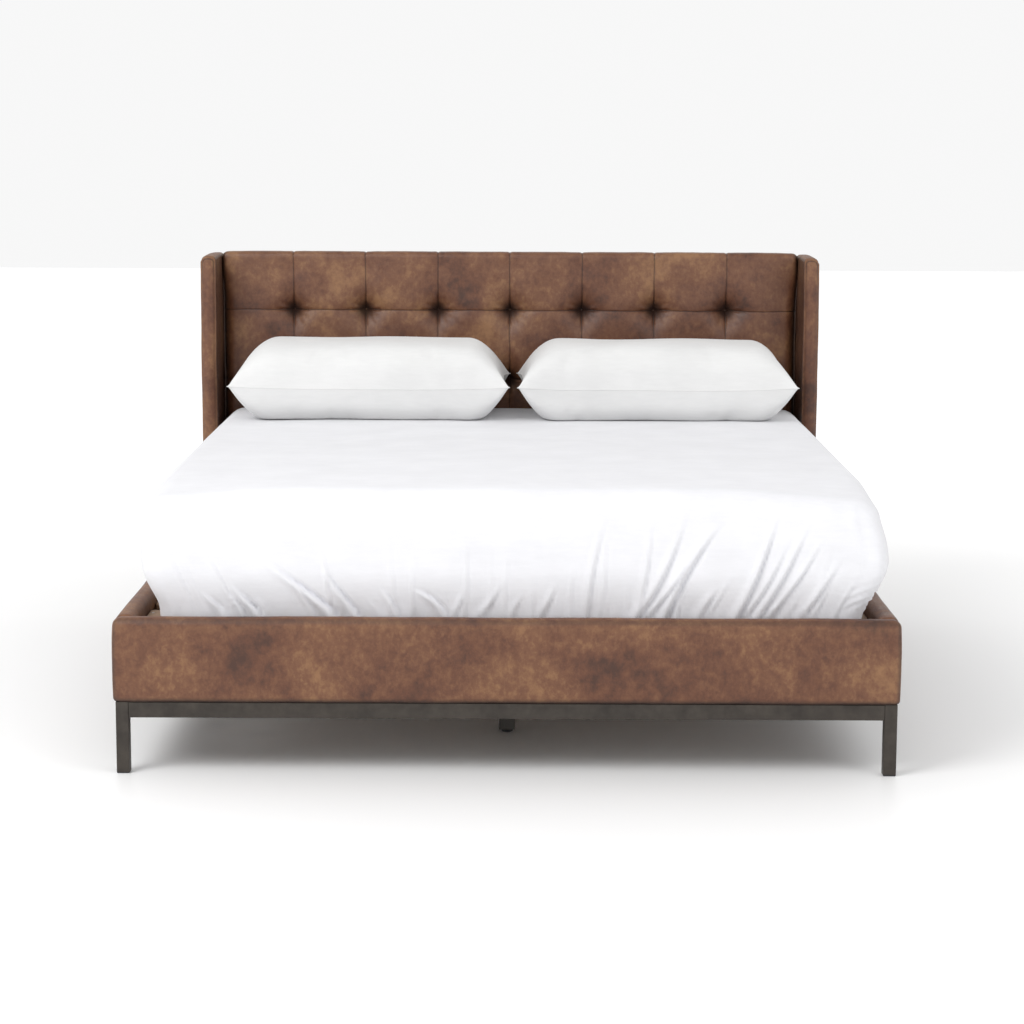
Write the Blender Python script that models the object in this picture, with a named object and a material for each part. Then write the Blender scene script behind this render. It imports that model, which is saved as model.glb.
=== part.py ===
"""Upholstered king-size bed: a steel tube base, a slatted deck, leather-covered rails and a tufted,
winged headboard, with a mattress in a fitted sheet and two pillows.

Metres, +Z up, +X to the right seen from the foot, +Y towards the headboard.
The origin is the middle of the footprint, on the floor.
"""

import math

import bmesh
import bpy
from mathutils import Vector

# Fits
GAP = 0.0003  # between pieces that touch
SLAT_END_CLEARANCE = 0.004
PLUG_CLEARANCE = 0.0005
STEM_CLEARANCE = 0.001
SHEET_CLEARANCE = 0.001

# Mattress, sheet and pillows
MATTRESS_WIDTH = 1.916
MATTRESS_LENGTH = 2.030
MATTRESS_HEIGHT = 0.365
MATTRESS_CORNER = 0.075  # corner radius in plan
MATTRESS_BULGE = 0.020
CORNER_STEPS, SIDE_STEPS, END_STEPS = 4, 4, 3
LEAST_CORNER = 0.010  # corner radius where the sheet turns in under the mattress
BULGE_FADE = 0.200  # length over which the bulge dies away in front of the wings
MATTRESS_ROLL_TOP = 0.055
MATTRESS_ROLL_BOTTOM = 0.028
MATTRESS_SHIFT = 0.012  # lies this far to the right of the middle
SHEET_THICKNESS = 0.0025
SHEET_HEM = 0.080  # how far the sheet tucks in under the mattress
PILLOW_LENGTH = 0.910
PILLOW_DEPTH = 0.500
PILLOW_THICKNESS = 0.235
PILLOW_SQUARENESS = 0.5  # power of the plan's outline, 1 for an oval
PILLOW_UNDERSIDE = 0.6  # power of the profile, 1 for an oval
PILLOW_CROWN = 0.85
PILLOW_FROM_PAD = 0.013
PILLOW_LEFT_X = -0.453
PILLOW_RIGHT_X = 0.478

# Room round the mattress
SIDE_CLEARANCE = 0.019
FOOT_CLEARANCE = 0.016
HEAD_CLEARANCE = 0.0185

# Rails
RAIL_THICKNESS = 0.0515
RAIL_HEIGHT = 0.222
RAIL_ROLL = 0.013  # radius of the padded edges
RAIL_BOARD = 0.025
RAIL_RETURN = 0.004  # leather folded over the inner face
RAIL_TOP_PAD = 0.010
RAIL_BOTTOM_PAD = 0.006
RAIL_END_PAD = 0.012
RAIL_LOWER_RETURN = 0.030

# Steel base
BASE_HEIGHT = 0.1914  # floor to the underside of the rails
BAR_HEIGHT = 0.0415
LEG_SIZE = 0.034
TUBE_WALL = 0.002
TUBE_ROUND = 0.0025
BASE_INSET = 0.006  # from the rail faces in to the steel
GLIDE_HEIGHT = 0.004
GLIDE_ROUND = 0.003
PLUG_DEPTH = 0.015

# Deck
DECK_RECESS = 0.038  # rail top down to the slats
SLAT_COUNT = 12
SLAT_WIDTH = 0.090
SLAT_THICKNESS = 0.018
SLAT_MARGIN = 0.010
CLEAT_WIDTH = 0.030
CLEAT_HEIGHT = 0.045
CLEAT_END = 0.004
CLEAT_EDGE = 0.0015  # chamfer
SLAT_EDGE = 0.003
BEAM_WIDTH = 0.050
BEAM_HEIGHT = 0.060
BEAM_EDGE = 0.003
SADDLE_PLATE = 0.003
SADDLE_LENGTH = 0.040
SADDLE_DROP = 0.006  # cheeks end this far under the beam's top

# Centre legs
CENTRE_LEG_COUNT = 3
CENTRE_LEG_SIZE = 0.045
CENTRE_LEG_EDGE = 0.002
CENTRE_LEG_FROM_END = 0.500
FOOT_RADIUS = 0.016
FOOT_HEIGHT = 0.008
STEM_RADIUS = 0.005
STEM_LENGTH = 0.035
BORE_DEPTH = 0.045

# Headboard
WING_TOP = 1.262
WING_SETBACK = 0.0005  # from the rail's inner face out to the wing's
WING_REACH = 0.168  # in front of the pad's face
WING_BOARD = 0.022
WING_FRONT_PAD = 0.018
WING_TOP_PAD = 0.012
WING_ROLL = 0.010
PAD_TOP = 1.267
PAD_THICKNESS = 0.060
PAD_ROLL = 0.022
PAD_SIDE_CLEARANCE = 0.004
PAD_ABOVE_CLEAT = 0.005
CORE_THICKNESS = 0.030
CORE_BELOW_TOP = 0.010
BACK_COVER_THICKNESS = 0.003
BACK_COVER_INSET = 0.006

# Corner brackets
BRACKET_PLATE = 0.003
BRACKET_ARM = 0.060
BRACKET_BELOW_CLEAT = 0.002

# Places worked out from the sizes above, with Y counted from the foot rail's front face
half_width = MATTRESS_WIDTH / 2 + SIDE_CLEARANCE + RAIL_THICKNESS
rail_inner_x = half_width - RAIL_THICKNESS
wing_thickness = RAIL_THICKNESS - WING_SETBACK
wing_inner_x = half_width - wing_thickness
rail_board_x = rail_inner_x + RAIL_RETURN
rail_board_y = RAIL_THICKNESS - RAIL_RETURN
rail_bottom = BASE_HEIGHT + GAP
rail_top = rail_bottom + RAIL_HEIGHT
slat_top = rail_top - DECK_RECESS
slat_bottom = slat_top - SLAT_THICKNESS
cleat_top = slat_bottom - GAP
cleat_bottom = cleat_top - CLEAT_HEIGHT
pad_bottom = cleat_top + PAD_ABOVE_CLEAT
mattress_foot_y = RAIL_THICKNESS + FOOT_CLEARANCE
pad_face_y = mattress_foot_y + MATTRESS_LENGTH + HEAD_CLEARANCE
wing_front_y = pad_face_y - WING_REACH
core_front_y = pad_face_y + PAD_THICKNESS + GAP
back_cover_y = core_front_y + CORE_THICKNESS + GAP
depth = back_cover_y + BACK_COVER_THICKNESS
front = -depth / 2
slot_low = rail_bottom + RAIL_LOWER_RETURN
slot_high = cleat_top
mattress_bottom = slat_top + GAP + SHEET_THICKNESS + SHEET_CLEARANCE
sheet_top = mattress_bottom + MATTRESS_HEIGHT + SHEET_CLEARANCE + SHEET_THICKNESS
SIDES = (("left", -1), ("right", 1))

# Colour, roughness and metallic value of each finish
FINISHES = {
    "leather": ((0.13, 0.055, 0.033), 0.45, 0.0),
    "steel": ((0.085, 0.078, 0.072), 0.38, 0.8),
    "zinc": ((0.45, 0.45, 0.44), 0.40, 0.9),
    "plastic": ((0.03, 0.03, 0.03), 0.55, 0.0),
    "beech": ((0.55, 0.37, 0.21), 0.60, 0.0),
    "plywood": ((0.48, 0.33, 0.19), 0.65, 0.0),
    "black_wood": ((0.035, 0.030, 0.028), 0.50, 0.0),
    "sheet": ((0.80, 0.80, 0.82), 0.90, 0.0),
    "ticking": ((0.72, 0.71, 0.69), 0.90, 0.0),
    "pillow": ((0.82, 0.82, 0.81), 0.90, 0.0),
}


def clear_scene():
    for obj in list(bpy.data.objects):
        bpy.data.objects.remove(obj, do_unlink=True)


def material(name, finish):
    colour, roughness, metallic = FINISHES[finish]
    made = bpy.data.materials.new(name)
    made.use_nodes = True
    shader = made.node_tree.nodes["Principled BSDF"]
    shader.inputs["Base Color"].default_value = (*colour, 1.0)
    shader.inputs["Roughness"].default_value = roughness
    shader.inputs["Metallic"].default_value = metallic
    made.diffuse_color = (*colour, 1.0)
    return made


def add(name, bm, finish, place, turn=0.0):
    """Makes the object of one piece. place is (x, y, z), with y counted from the foot rail's front face."""
    bmesh.ops.recalc_face_normals(bm, faces=bm.faces[:])
    mesh = bpy.data.meshes.new(name)
    bm.to_mesh(mesh)
    bm.free()
    mesh.shade_smooth()
    mesh.set_sharp_from_angle(angle=math.radians(35))
    mesh.materials.append(material(name, finish))
    obj = bpy.data.objects.new(name, mesh)
    bpy.context.collection.objects.link(obj)
    obj.location = (place[0], front + place[1], place[2])
    obj.rotation_euler.z = turn
    return obj


def round_edges(obj, width, segments):
    bevel = obj.modifiers.new("rounded_edges", "BEVEL")
    bevel.width = width
    bevel.segments = segments
    bevel.limit_method = "ANGLE"
    bevel.angle_limit = math.radians(40)
    return obj


def cut(obj, cutter):
    cutter.hide_render = True
    cutter.display_type = "WIRE"
    boolean = obj.modifiers.new(cutter.name, "BOOLEAN")
    boolean.operation = "DIFFERENCE"
    boolean.solver = "EXACT"
    boolean.object = cutter


def cube_mesh(size):
    bm = bmesh.new()
    bmesh.ops.create_cube(bm, size=1.0)
    bmesh.ops.scale(bm, vec=Vector(size), verts=bm.verts[:])
    return bm


def block(name, low, high, finish):
    """A box between two corners, with y counted from the foot rail's front face."""
    low, high = Vector(low), Vector(high)
    return add(name, cube_mesh(high - low), finish, (low + high) / 2)


def prism(outline, low, high):
    """An outline in X and Y, extruded from low to high."""
    bm = bmesh.new()
    face = bm.faces.new([bm.verts.new((x, y, low)) for x, y in outline])
    grown = bmesh.ops.extrude_face_region(bm, geom=[face])["geom"]
    top = [item for item in grown if isinstance(item, bmesh.types.BMVert)]
    bmesh.ops.translate(bm, verts=top, vec=(0, 0, high - low))
    return bm


def rounded_outline(width, height, radius, steps=3):
    """A rectangle with rounded corners, anticlockwise."""
    points = []
    for corner, (sx, sy) in enumerate(((1, 1), (-1, 1), (-1, -1), (1, -1))):
        middle = Vector((sx * (width / 2 - radius), sy * (height / 2 - radius)))
        for step in range(steps + 1):
            angle = math.pi / 2 * (corner + step / steps)
            points.append(middle + radius * Vector((math.cos(angle), math.sin(angle))))
    return points


def ring(bm, points):
    """A closed loop of edges through points in space."""
    verts = [bm.verts.new(point) for point in points]
    return [bm.edges.new((verts[i - 1], verts[i])) for i in range(len(verts))]


def square_tube(width, height, length):
    """A hollow steel tube along its own Z axis, open at both ends."""
    bm = bmesh.new()
    outer = rounded_outline(width, height, TUBE_ROUND)
    inner = rounded_outline(width - 2 * TUBE_WALL, height - 2 * TUBE_WALL, TUBE_ROUND - TUBE_WALL)
    edges = []
    for outline in (outer, inner):
        edges += ring(bm, [(x, y, -length / 2) for x, y in outline])
    wall = bmesh.ops.bridge_loops(bm, edges=edges)["faces"]
    grown = bmesh.ops.extrude_face_region(bm, geom=wall)["geom"]
    far = [item for item in grown if isinstance(item, bmesh.types.BMVert)]
    bmesh.ops.translate(bm, verts=far, vec=(0, 0, length))
    return bm


def make_legs():
    leg_x = half_width - BASE_INSET - LEG_SIZE / 2
    leg_y = {"front": BASE_INSET + LEG_SIZE / 2, "rear": depth - BASE_INSET - LEG_SIZE / 2}
    low = GLIDE_HEIGHT + GAP
    for side, sign in SIDES:
        for end, y in leg_y.items():
            tube = square_tube(LEG_SIZE, LEG_SIZE, BASE_HEIGHT - low)
            add(f"leg_{end}_{side}", tube, "steel", (sign * leg_x, y, (BASE_HEIGHT + low) / 2))
            add(f"glide_{end}_{side}", glide_mesh(), "plastic", (sign * leg_x, y, 0))


def glide_mesh():
    """A square foot with a plug on top that fits inside the leg's tube."""
    bm = cube_mesh((LEG_SIZE, LEG_SIZE, GLIDE_HEIGHT))
    bmesh.ops.translate(bm, verts=bm.verts[:], vec=(0, 0, GLIDE_HEIGHT / 2))
    rounded = [e for e in bm.edges if min(v.co.z for v in e.verts) < GLIDE_HEIGHT / 2]
    bmesh.ops.bevel(
        bm, geom=rounded, offset=GLIDE_ROUND, segments=2, profile=0.5, affect="EDGES", material=-1
    )
    bm.faces.ensure_lookup_table()
    top = max(bm.faces, key=lambda face: face.calc_center_median().z)
    inset = TUBE_WALL + PLUG_CLEARANCE
    bmesh.ops.inset_region(bm, faces=[top], thickness=inset, use_even_offset=True)
    grown = bmesh.ops.extrude_face_region(bm, geom=[top])["geom"]
    plug = [item for item in grown if isinstance(item, bmesh.types.BMVert)]
    bmesh.ops.translate(bm, verts=plug, vec=(0, 0, PLUG_DEPTH))
    bmesh.ops.delete(bm, geom=[top], context="FACES_ONLY")
    return bm


def make_base_bars():
    z = BASE_HEIGHT - BAR_HEIGHT / 2
    leg_reach = BASE_INSET + LEG_SIZE + GAP
    across = 2 * (half_width - leg_reach)
    along = depth - 2 * leg_reach
    in_line = BASE_INSET + LEG_SIZE / 2
    for end, y in (("front", in_line), ("rear", depth - in_line)):
        bar = add(f"base_bar_{end}", square_tube(BAR_HEIGHT, LEG_SIZE, across), "steel", (0, y, z))
        bar.rotation_euler = (0, math.pi / 2, 0)
    for side, sign in SIDES:
        x = sign * (half_width - in_line)
        tube = square_tube(LEG_SIZE, BAR_HEIGHT, along)
        bar = add(f"base_bar_{side}", tube, "steel", (x, depth / 2, z))
        bar.rotation_euler = (math.pi / 2, 0, 0)


def make_rail(name, side, length, place, turn, slot_length):
    """A rail lying along its own X axis, with its outer face towards its own -Y: a board in a padded
    leather cover. The cover is cut away at the back, below the leather folded over the top."""
    cover = add(f"{name}_cover{side}", cube_mesh((length, RAIL_THICKNESS, RAIL_HEIGHT)), "leather", place, turn)
    round_edges(cover, RAIL_ROLL, 3)
    inner_y = RAIL_THICKNESS / 2 - RAIL_RETURN
    pocket_y = (inner_y - RAIL_BOARD - 2 * GAP, inner_y)
    pocket_z = (-RAIL_HEIGHT / 2 + RAIL_BOTTOM_PAD, RAIL_HEIGHT / 2 - RAIL_TOP_PAD)
    pocket_x = length / 2 - RAIL_END_PAD
    middle_z = place[2]
    slot_z = (slot_low - middle_z, slot_high - middle_z)
    hollows = (
        ("pocket", pocket_x, pocket_y, pocket_z),
        ("slot", slot_length / 2, (pocket_y[0], RAIL_THICKNESS), slot_z),
    )
    for label, half_x, (y0, y1), (z0, z1) in hollows:
        bm = cube_mesh((2 * half_x, y1 - y0, z1 - z0))
        bmesh.ops.translate(bm, verts=bm.verts[:], vec=(0, (y0 + y1) / 2, (z0 + z1) / 2))
        cut(cover, add(f"{label}_cutter_{name}{side}", bm, "leather", place, turn))
    height = pocket_z[1] - pocket_z[0] - 2 * GAP
    bm = cube_mesh((2 * (pocket_x - GAP), RAIL_BOARD, height))
    bmesh.ops.translate(bm, verts=bm.verts[:], vec=(0, sum(pocket_y) / 2, sum(pocket_z) / 2))
    add(f"{name}_board{side}", bm, "plywood", place, turn)


def make_rails():
    z = (rail_bottom + rail_top) / 2
    middle = RAIL_THICKNESS / 2
    across = 2 * half_width
    make_rail("foot_rail", "", across, (0, middle, z), 0, across - 2 * RAIL_END_PAD)
    start, stop = RAIL_THICKNESS + GAP, wing_front_y - GAP
    length = stop - start
    for side, sign in SIDES:
        place = (sign * (half_width - middle), (start + stop) / 2, z)
        make_rail("side_rail", f"_{side}", length, place, sign * math.pi / 2, length + 2 * RAIL_END_PAD)


def make_corner_brackets():
    low = slot_low + GAP
    high = cleat_bottom - BRACKET_BELOW_CLEAT
    board_x = rail_board_x - GAP
    foot_y = rail_board_y + GAP
    wing_x = wing_inner_x - GAP
    plate = BRACKET_PLATE
    angle = (
        (board_x, foot_y),
        (board_x, foot_y + BRACKET_ARM),
        (board_x - plate, foot_y + BRACKET_ARM),
        (board_x - plate, foot_y + plate),
        (board_x - BRACKET_ARM, foot_y + plate),
        (board_x - BRACKET_ARM, foot_y),
    )
    step = (wing_front_y - 3 * plate, wing_front_y - plate)
    strap_line = (
        (board_x, wing_front_y - BRACKET_ARM),
        (board_x, step[0]),
        (wing_x, step[1]),
        (wing_x, wing_front_y + BRACKET_ARM),
    )
    strap = strap_line + tuple((x - plate, y) for x, y in reversed(strap_line))
    for side, sign in SIDES:
        for end, outline in (("foot", angle), ("head", strap)):
            centre = Vector((sign * board_x, outline[0][1]))
            local = [Vector((sign * x, y)) - centre for x, y in outline]
            half = (high - low) / 2
            name = f"corner_bracket_{end}_{side}"
            add(name, prism(local, -half, half), "zinc", (*centre, (low + high) / 2))


def make_cleats():
    outer = min(rail_inner_x, wing_inner_x) - GAP
    for side, sign in SIDES:
        x = sorted((sign * outer, sign * (outer - CLEAT_WIDTH)))
        low = (x[0], RAIL_THICKNESS + CLEAT_END, cleat_bottom)
        high = (x[1], core_front_y - CLEAT_END, cleat_top)
        round_edges(block(f"cleat_{side}", low, high, "beech"), CLEAT_EDGE, 1)


def make_slats():
    half = min(rail_inner_x, wing_inner_x) - SLAT_END_CLEARANCE
    first = RAIL_THICKNESS + SLAT_MARGIN + SLAT_WIDTH / 2
    last = pad_face_y - SLAT_MARGIN - SLAT_WIDTH / 2
    pitch = (last - first) / (SLAT_COUNT - 1)
    for number in range(SLAT_COUNT):
        y = first + number * pitch
        low = (-half, y - SLAT_WIDTH / 2, slat_bottom)
        high = (half, y + SLAT_WIDTH / 2, slat_top)
        round_edges(block(f"slat_{number + 1:02d}", low, high, "beech"), SLAT_EDGE, 1)


def make_centre_beam():
    """The beam and the steel saddle that carries it at each end."""
    top = slat_bottom - GAP
    bottom = top - BEAM_HEIGHT
    ends = (rail_board_y + GAP, core_front_y - GAP)
    reach = SADDLE_PLATE + GAP
    low = (-BEAM_WIDTH / 2, ends[0] + reach, bottom)
    high = (BEAM_WIDTH / 2, ends[1] - reach, top)
    round_edges(block("centre_beam", low, high, "beech"), BEAM_EDGE, 1)
    inner = BEAM_WIDTH / 2 + GAP
    outer = inner + SADDLE_PLATE
    floor = bottom - GAP
    for end, y, way in (("foot", ends[0], 1), ("head", ends[1], -1)):
        spans = (
            (outer, (y, y + way * SADDLE_LENGTH), (floor - SADDLE_PLATE, top - SADDLE_DROP)),
            (inner, (y + way * SADDLE_PLATE, y + way * 2 * SADDLE_LENGTH), (floor, top + SADDLE_DROP)),
        )
        made = []
        for label, (half, across, up) in zip(("beam_saddle", "saddle_cutter"), spans):
            corners = ((-half, min(across), up[0]), (half, max(across), up[1]))
            made.append(block(f"{label}_{end}", *corners, "zinc"))
        cut(*made)
    return bottom


def turned(profile, steps):
    """A closed round solid from a profile of (radius, height), spun about Z. The profile's two ends are
    on the axis."""
    bm = bmesh.new()
    verts = [bm.verts.new((r, 0, z)) for r, z in profile]
    edges = [bm.edges.new(pair) for pair in zip(verts, verts[1:])]
    bmesh.ops.spin(
        bm, geom=verts + edges, cent=(0, 0, 0), axis=(0, 0, 1), angle=math.tau, steps=steps, use_merge=True
    )
    bmesh.ops.remove_doubles(bm, verts=bm.verts[:], dist=0.00001)
    return bm


def make_centre_legs(beam_bottom):
    bottom = FOOT_HEIGHT + GAP
    top = beam_bottom - GAP
    first = CENTRE_LEG_FROM_END
    pitch = (depth - 2 * first) / (CENTRE_LEG_COUNT - 1)
    edge = FOOT_HEIGHT / 4
    foot = (
        (0, 0),
        (FOOT_RADIUS - edge, 0),
        (FOOT_RADIUS, edge),
        (FOOT_RADIUS, FOOT_HEIGHT - edge),
        (FOOT_RADIUS - edge, FOOT_HEIGHT),
        (STEM_RADIUS, FOOT_HEIGHT),
        (STEM_RADIUS, FOOT_HEIGHT + STEM_LENGTH),
        (0, FOOT_HEIGHT + STEM_LENGTH),
    )
    bore_radius = STEM_RADIUS + STEM_CLEARANCE
    bore = ((0, -BORE_DEPTH), (bore_radius, -BORE_DEPTH), (bore_radius, BORE_DEPTH), (0, BORE_DEPTH))
    for number in range(CENTRE_LEG_COUNT):
        y = first + number * pitch
        name = f"centre_leg_{number + 1}"
        half = CENTRE_LEG_SIZE / 2
        leg = block(name, (-half, y - half, bottom), (half, y + half, top), "black_wood")
        round_edges(leg, CENTRE_LEG_EDGE, 1)
        cut(leg, add(f"bore_cutter_{number + 1}", turned(bore, 16), "black_wood", (0, y, bottom)))
        add(f"levelling_foot_{number + 1}", turned(foot, 16), "plastic", (0, y, 0))


def make_headboard():
    pad_half = wing_inner_x - PAD_SIDE_CLEARANCE
    pad = block(
        "tufted_pad",
        (-pad_half, pad_face_y, pad_bottom),
        (pad_half, pad_face_y + PAD_THICKNESS, PAD_TOP),
        "leather",
    )
    round_edges(pad, PAD_ROLL, 3)
    core_half = wing_inner_x - GAP
    core_top = PAD_TOP - CORE_BELOW_TOP
    block(
        "headboard_core",
        (-core_half, core_front_y, rail_bottom),
        (core_half, core_front_y + CORE_THICKNESS, core_top),
        "plywood",
    )
    back_half = half_width - BACK_COVER_INSET
    block(
        "headboard_back_cover",
        (-back_half, back_cover_y, rail_bottom + BACK_COVER_INSET),
        (back_half, depth, core_top),
        "leather",
    )
    wing_back = back_cover_y - GAP
    size = Vector((wing_thickness, wing_back - wing_front_y, WING_TOP - rail_bottom))
    board_front = wing_front_y + WING_FRONT_PAD
    board_top = WING_TOP - WING_TOP_PAD
    for side, sign in SIDES:
        x = sign * (half_width - wing_thickness / 2)
        place = (x, wing_front_y + size.y / 2, rail_bottom + size.z / 2)
        cover = round_edges(add(f"wing_cover_{side}", cube_mesh(size), "leather", place), WING_ROLL, 3)
        half = WING_BOARD / 2
        low = (x - half, board_front, rail_bottom)
        high = (x + half, wing_back, board_top)
        block(f"wing_board_{side}", low, high, "plywood")
        low = (x - half - GAP, board_front - GAP, rail_bottom - WING_ROLL)
        high = (x + half + GAP, wing_back + WING_ROLL, board_top + GAP)
        cut(cover, block(f"wing_cutter_{side}", low, high, "leather"))


def plan_outline(half_x, half_y, corner, bulge):
    """A mattress's outline at one height, anticlockwise from the head's right corner. The sides bulge
    as far as BULGE_FADE short of the wings, and are straight between them."""
    in_x, in_y = half_x - corner, half_y - corner
    fade_end = half_y - WING_REACH
    straight = fade_end - BULGE_FADE + in_y
    side = [-in_y + straight * step / SIDE_STEPS for step in range(1, SIDE_STEPS + 1)] + [fade_end]
    across = [in_x * (2 * step / END_STEPS - 1) for step in range(1, END_STEPS)]
    # centre of each rounded corner, then the points of the straight run after it
    corners = (
        (in_x, in_y, [(x, half_y) for x in reversed(across)]),
        (-in_x, in_y, [(-half_x, y) for y in reversed(side)]),
        (-in_x, -in_y, [(x, -half_y) for x in across]),
        (in_x, -in_y, [(half_x, y) for y in side]),
    )
    points = []
    for quarter, (x, y, run) in enumerate(corners):
        for step in range(CORNER_STEPS + 1):
            angle = math.pi / 2 * (quarter + step / CORNER_STEPS)
            points.append((x + corner * math.cos(angle), y + corner * math.sin(angle)))
        points += run
    bulged = fade_end - BULGE_FADE / 2
    stretch_x, stretch_y = 1 + bulge / half_x, 1 + bulge / half_y
    return [(x * stretch_x if y < bulged else x, y * stretch_y if y < bulged else y) for x, y in points]


def mattress_levels(grown):
    """(height, inset, bulge) up the mattress's side, for a surface that lies grown outside it."""
    low, high = -grown, MATTRESS_HEIGHT + grown
    roll_low, roll_high = MATTRESS_ROLL_BOTTOM + grown, MATTRESS_ROLL_TOP + grown
    roll_steps, side_steps = 3, 5
    levels = []
    for step in range(roll_steps + 1):
        angle = math.pi / 2 * step / roll_steps
        levels.append((low + roll_low * (1 - math.cos(angle)), roll_low * (1 - math.sin(angle)) - grown, 0))
    start = DECK_RECESS
    stop = high - roll_high
    for step in range(1, side_steps):
        share = step / side_steps
        bulge = MATTRESS_BULGE * math.sin(math.pi * share)
        levels.append((start + (stop - start) * share, -grown, bulge))
    for step in range(roll_steps + 1):
        angle = math.pi / 2 * step / roll_steps
        levels.append((stop + roll_high * math.sin(angle), roll_high * (1 - math.cos(angle)) - grown, 0))
    return levels


def mattress_rings(bm, levels):
    """One loop of corners for each level, joined into a wall. Every wall is split into triangles the
    same way, so that a sheet's wall stays clear of the mattress's."""
    loops = []
    for height, inset, bulge in levels:
        half_x = MATTRESS_WIDTH / 2 - inset
        half_y = MATTRESS_LENGTH / 2 - inset
        corner = max(MATTRESS_CORNER - inset, LEAST_CORNER)
        outline = plan_outline(half_x, half_y, corner, bulge)
        loops.append([bm.verts.new((x, y, height)) for x, y in outline])
    for below, above in zip(loops, loops[1:]):
        join_loops(bm, below, above)
    return loops


def join_loops(bm, below, above):
    for i in range(len(below)):
        bm.faces.new((below[i - 1], below[i], above[i]))
        bm.faces.new((below[i - 1], above[i], above[i - 1]))


def make_mattress():
    place = (MATTRESS_SHIFT, mattress_foot_y + MATTRESS_LENGTH / 2, mattress_bottom)
    bm = bmesh.new()
    loops = mattress_rings(bm, mattress_levels(0))
    for loop in (loops[0], loops[-1]):
        bm.faces.new(loop)
    add("mattress", bm, "ticking", place)

    bm = bmesh.new()
    hems = []
    for grown in (SHEET_CLEARANCE, SHEET_CLEARANCE + SHEET_THICKNESS):
        hem = (-grown, SHEET_HEM, 0)
        loops = mattress_rings(bm, [hem] + mattress_levels(grown))
        bm.faces.new(loops[-1])
        hems.append(loops[0])
    join_loops(bm, *hems)
    add("fitted_sheet", bm, "sheet", place)


def rounded_power(value, power):
    return math.copysign(abs(value) ** power, value)


def make_pillows():
    """Two plump pillows, flatter below than above, lying side by side against the pad."""
    around, up = 24, 12
    y = pad_face_y - PILLOW_FROM_PAD - PILLOW_DEPTH / 2
    z = sheet_top + GAP + PILLOW_THICKNESS / 2
    for side, x in (("left", PILLOW_LEFT_X), ("right", PILLOW_RIGHT_X)):
        bm = bmesh.new()
        bmesh.ops.create_uvsphere(bm, u_segments=around, v_segments=up, radius=1.0)
        for vert in bm.verts:
            rise = math.asin(max(-1.0, min(1.0, vert.co.z)))
            turn = math.atan2(vert.co.y, vert.co.x)
            fullness = PILLOW_UNDERSIDE if rise < 0 else PILLOW_CROWN
            reach = math.cos(rise) ** fullness
            vert.co.x = PILLOW_LENGTH / 2 * reach * rounded_power(math.cos(turn), PILLOW_SQUARENESS)
            vert.co.y = PILLOW_DEPTH / 2 * reach * rounded_power(math.sin(turn), PILLOW_SQUARENESS)
            vert.co.z = PILLOW_THICKNESS / 2 * rounded_power(math.sin(rise), fullness)
        add(f"pillow_{side}", bm, "pillow", (x, y, z))


clear_scene()
make_legs()
make_base_bars()
make_rails()
make_corner_brackets()
make_cleats()
make_slats()
make_centre_legs(make_centre_beam())
make_headboard()
make_mattress()
make_pillows()
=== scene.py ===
"""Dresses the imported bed: leather over the rails, wings and tufted pad, the bedding, and the finish of
each board, tube and fitting, on a pale stage.

Metres, in the frame's own axes: +Z up, +X to the right seen from the foot, +Y towards the headboard.
"""

import math
import random

import bmesh
import bpy
import numpy as np
from bpy.props import FloatProperty, FloatVectorProperty, IntProperty, PointerProperty
from bpy.types import Operator, Panel, PropertyGroup
from mathutils import Matrix, Vector, noise


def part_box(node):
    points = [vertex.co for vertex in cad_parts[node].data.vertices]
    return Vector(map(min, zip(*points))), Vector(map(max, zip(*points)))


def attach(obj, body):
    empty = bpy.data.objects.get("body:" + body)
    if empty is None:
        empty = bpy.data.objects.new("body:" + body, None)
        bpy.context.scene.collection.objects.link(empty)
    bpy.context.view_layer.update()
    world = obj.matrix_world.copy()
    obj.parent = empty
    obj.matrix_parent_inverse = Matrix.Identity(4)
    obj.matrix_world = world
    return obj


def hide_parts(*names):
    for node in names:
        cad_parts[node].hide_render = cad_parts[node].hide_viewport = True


bl_info = {
    "name": "Upholstered bed",
    "version": (1, 0, 0),
    "blender": (4, 5, 0),
    "location": "3D View > Sidebar > Bed",
    "description": "Dresses the packed bed with its leather, bedding, finishes and stage",
    "category": "Object",
}

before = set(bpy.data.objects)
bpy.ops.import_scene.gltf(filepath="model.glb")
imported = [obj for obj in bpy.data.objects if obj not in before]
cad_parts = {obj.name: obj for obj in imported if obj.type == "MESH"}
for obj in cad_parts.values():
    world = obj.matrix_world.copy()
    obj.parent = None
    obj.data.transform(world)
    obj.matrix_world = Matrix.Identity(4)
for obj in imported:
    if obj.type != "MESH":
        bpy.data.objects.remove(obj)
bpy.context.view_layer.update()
noise.seed_set(1)  # noise_vector takes its offsets from the clock until it is seeded

SIDES = (("left", -1), ("right", 1))
RAIL_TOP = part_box("foot_rail_cover")[1].z
WING_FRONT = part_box("wing_cover_left")[0].y
PAD_LOW, PAD_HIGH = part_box("tufted_pad")
SHEET_LOW, SHEET_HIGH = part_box("fitted_sheet")
SLEEP_LOW, SLEEP_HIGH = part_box("mattress")


# Shader maths


class Wire:
    """A shader socket. Arithmetic on it adds the Math nodes."""

    def __init__(self, finish, socket):
        self.finish = finish
        self.socket = socket

    def _math(self, operation, first, second):
        return self.finish.node("ShaderNodeMath", {"operation": operation}, {0: first, 1: second})

    def __add__(self, other):
        return self._math("ADD", self, other)

    def __sub__(self, other):
        return self._math("SUBTRACT", self, other)

    def __rsub__(self, other):
        return self._math("SUBTRACT", other, self)

    def __mul__(self, other):
        return self._math("MULTIPLY", self, other)

    __radd__ = __add__
    __rmul__ = __mul__


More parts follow.
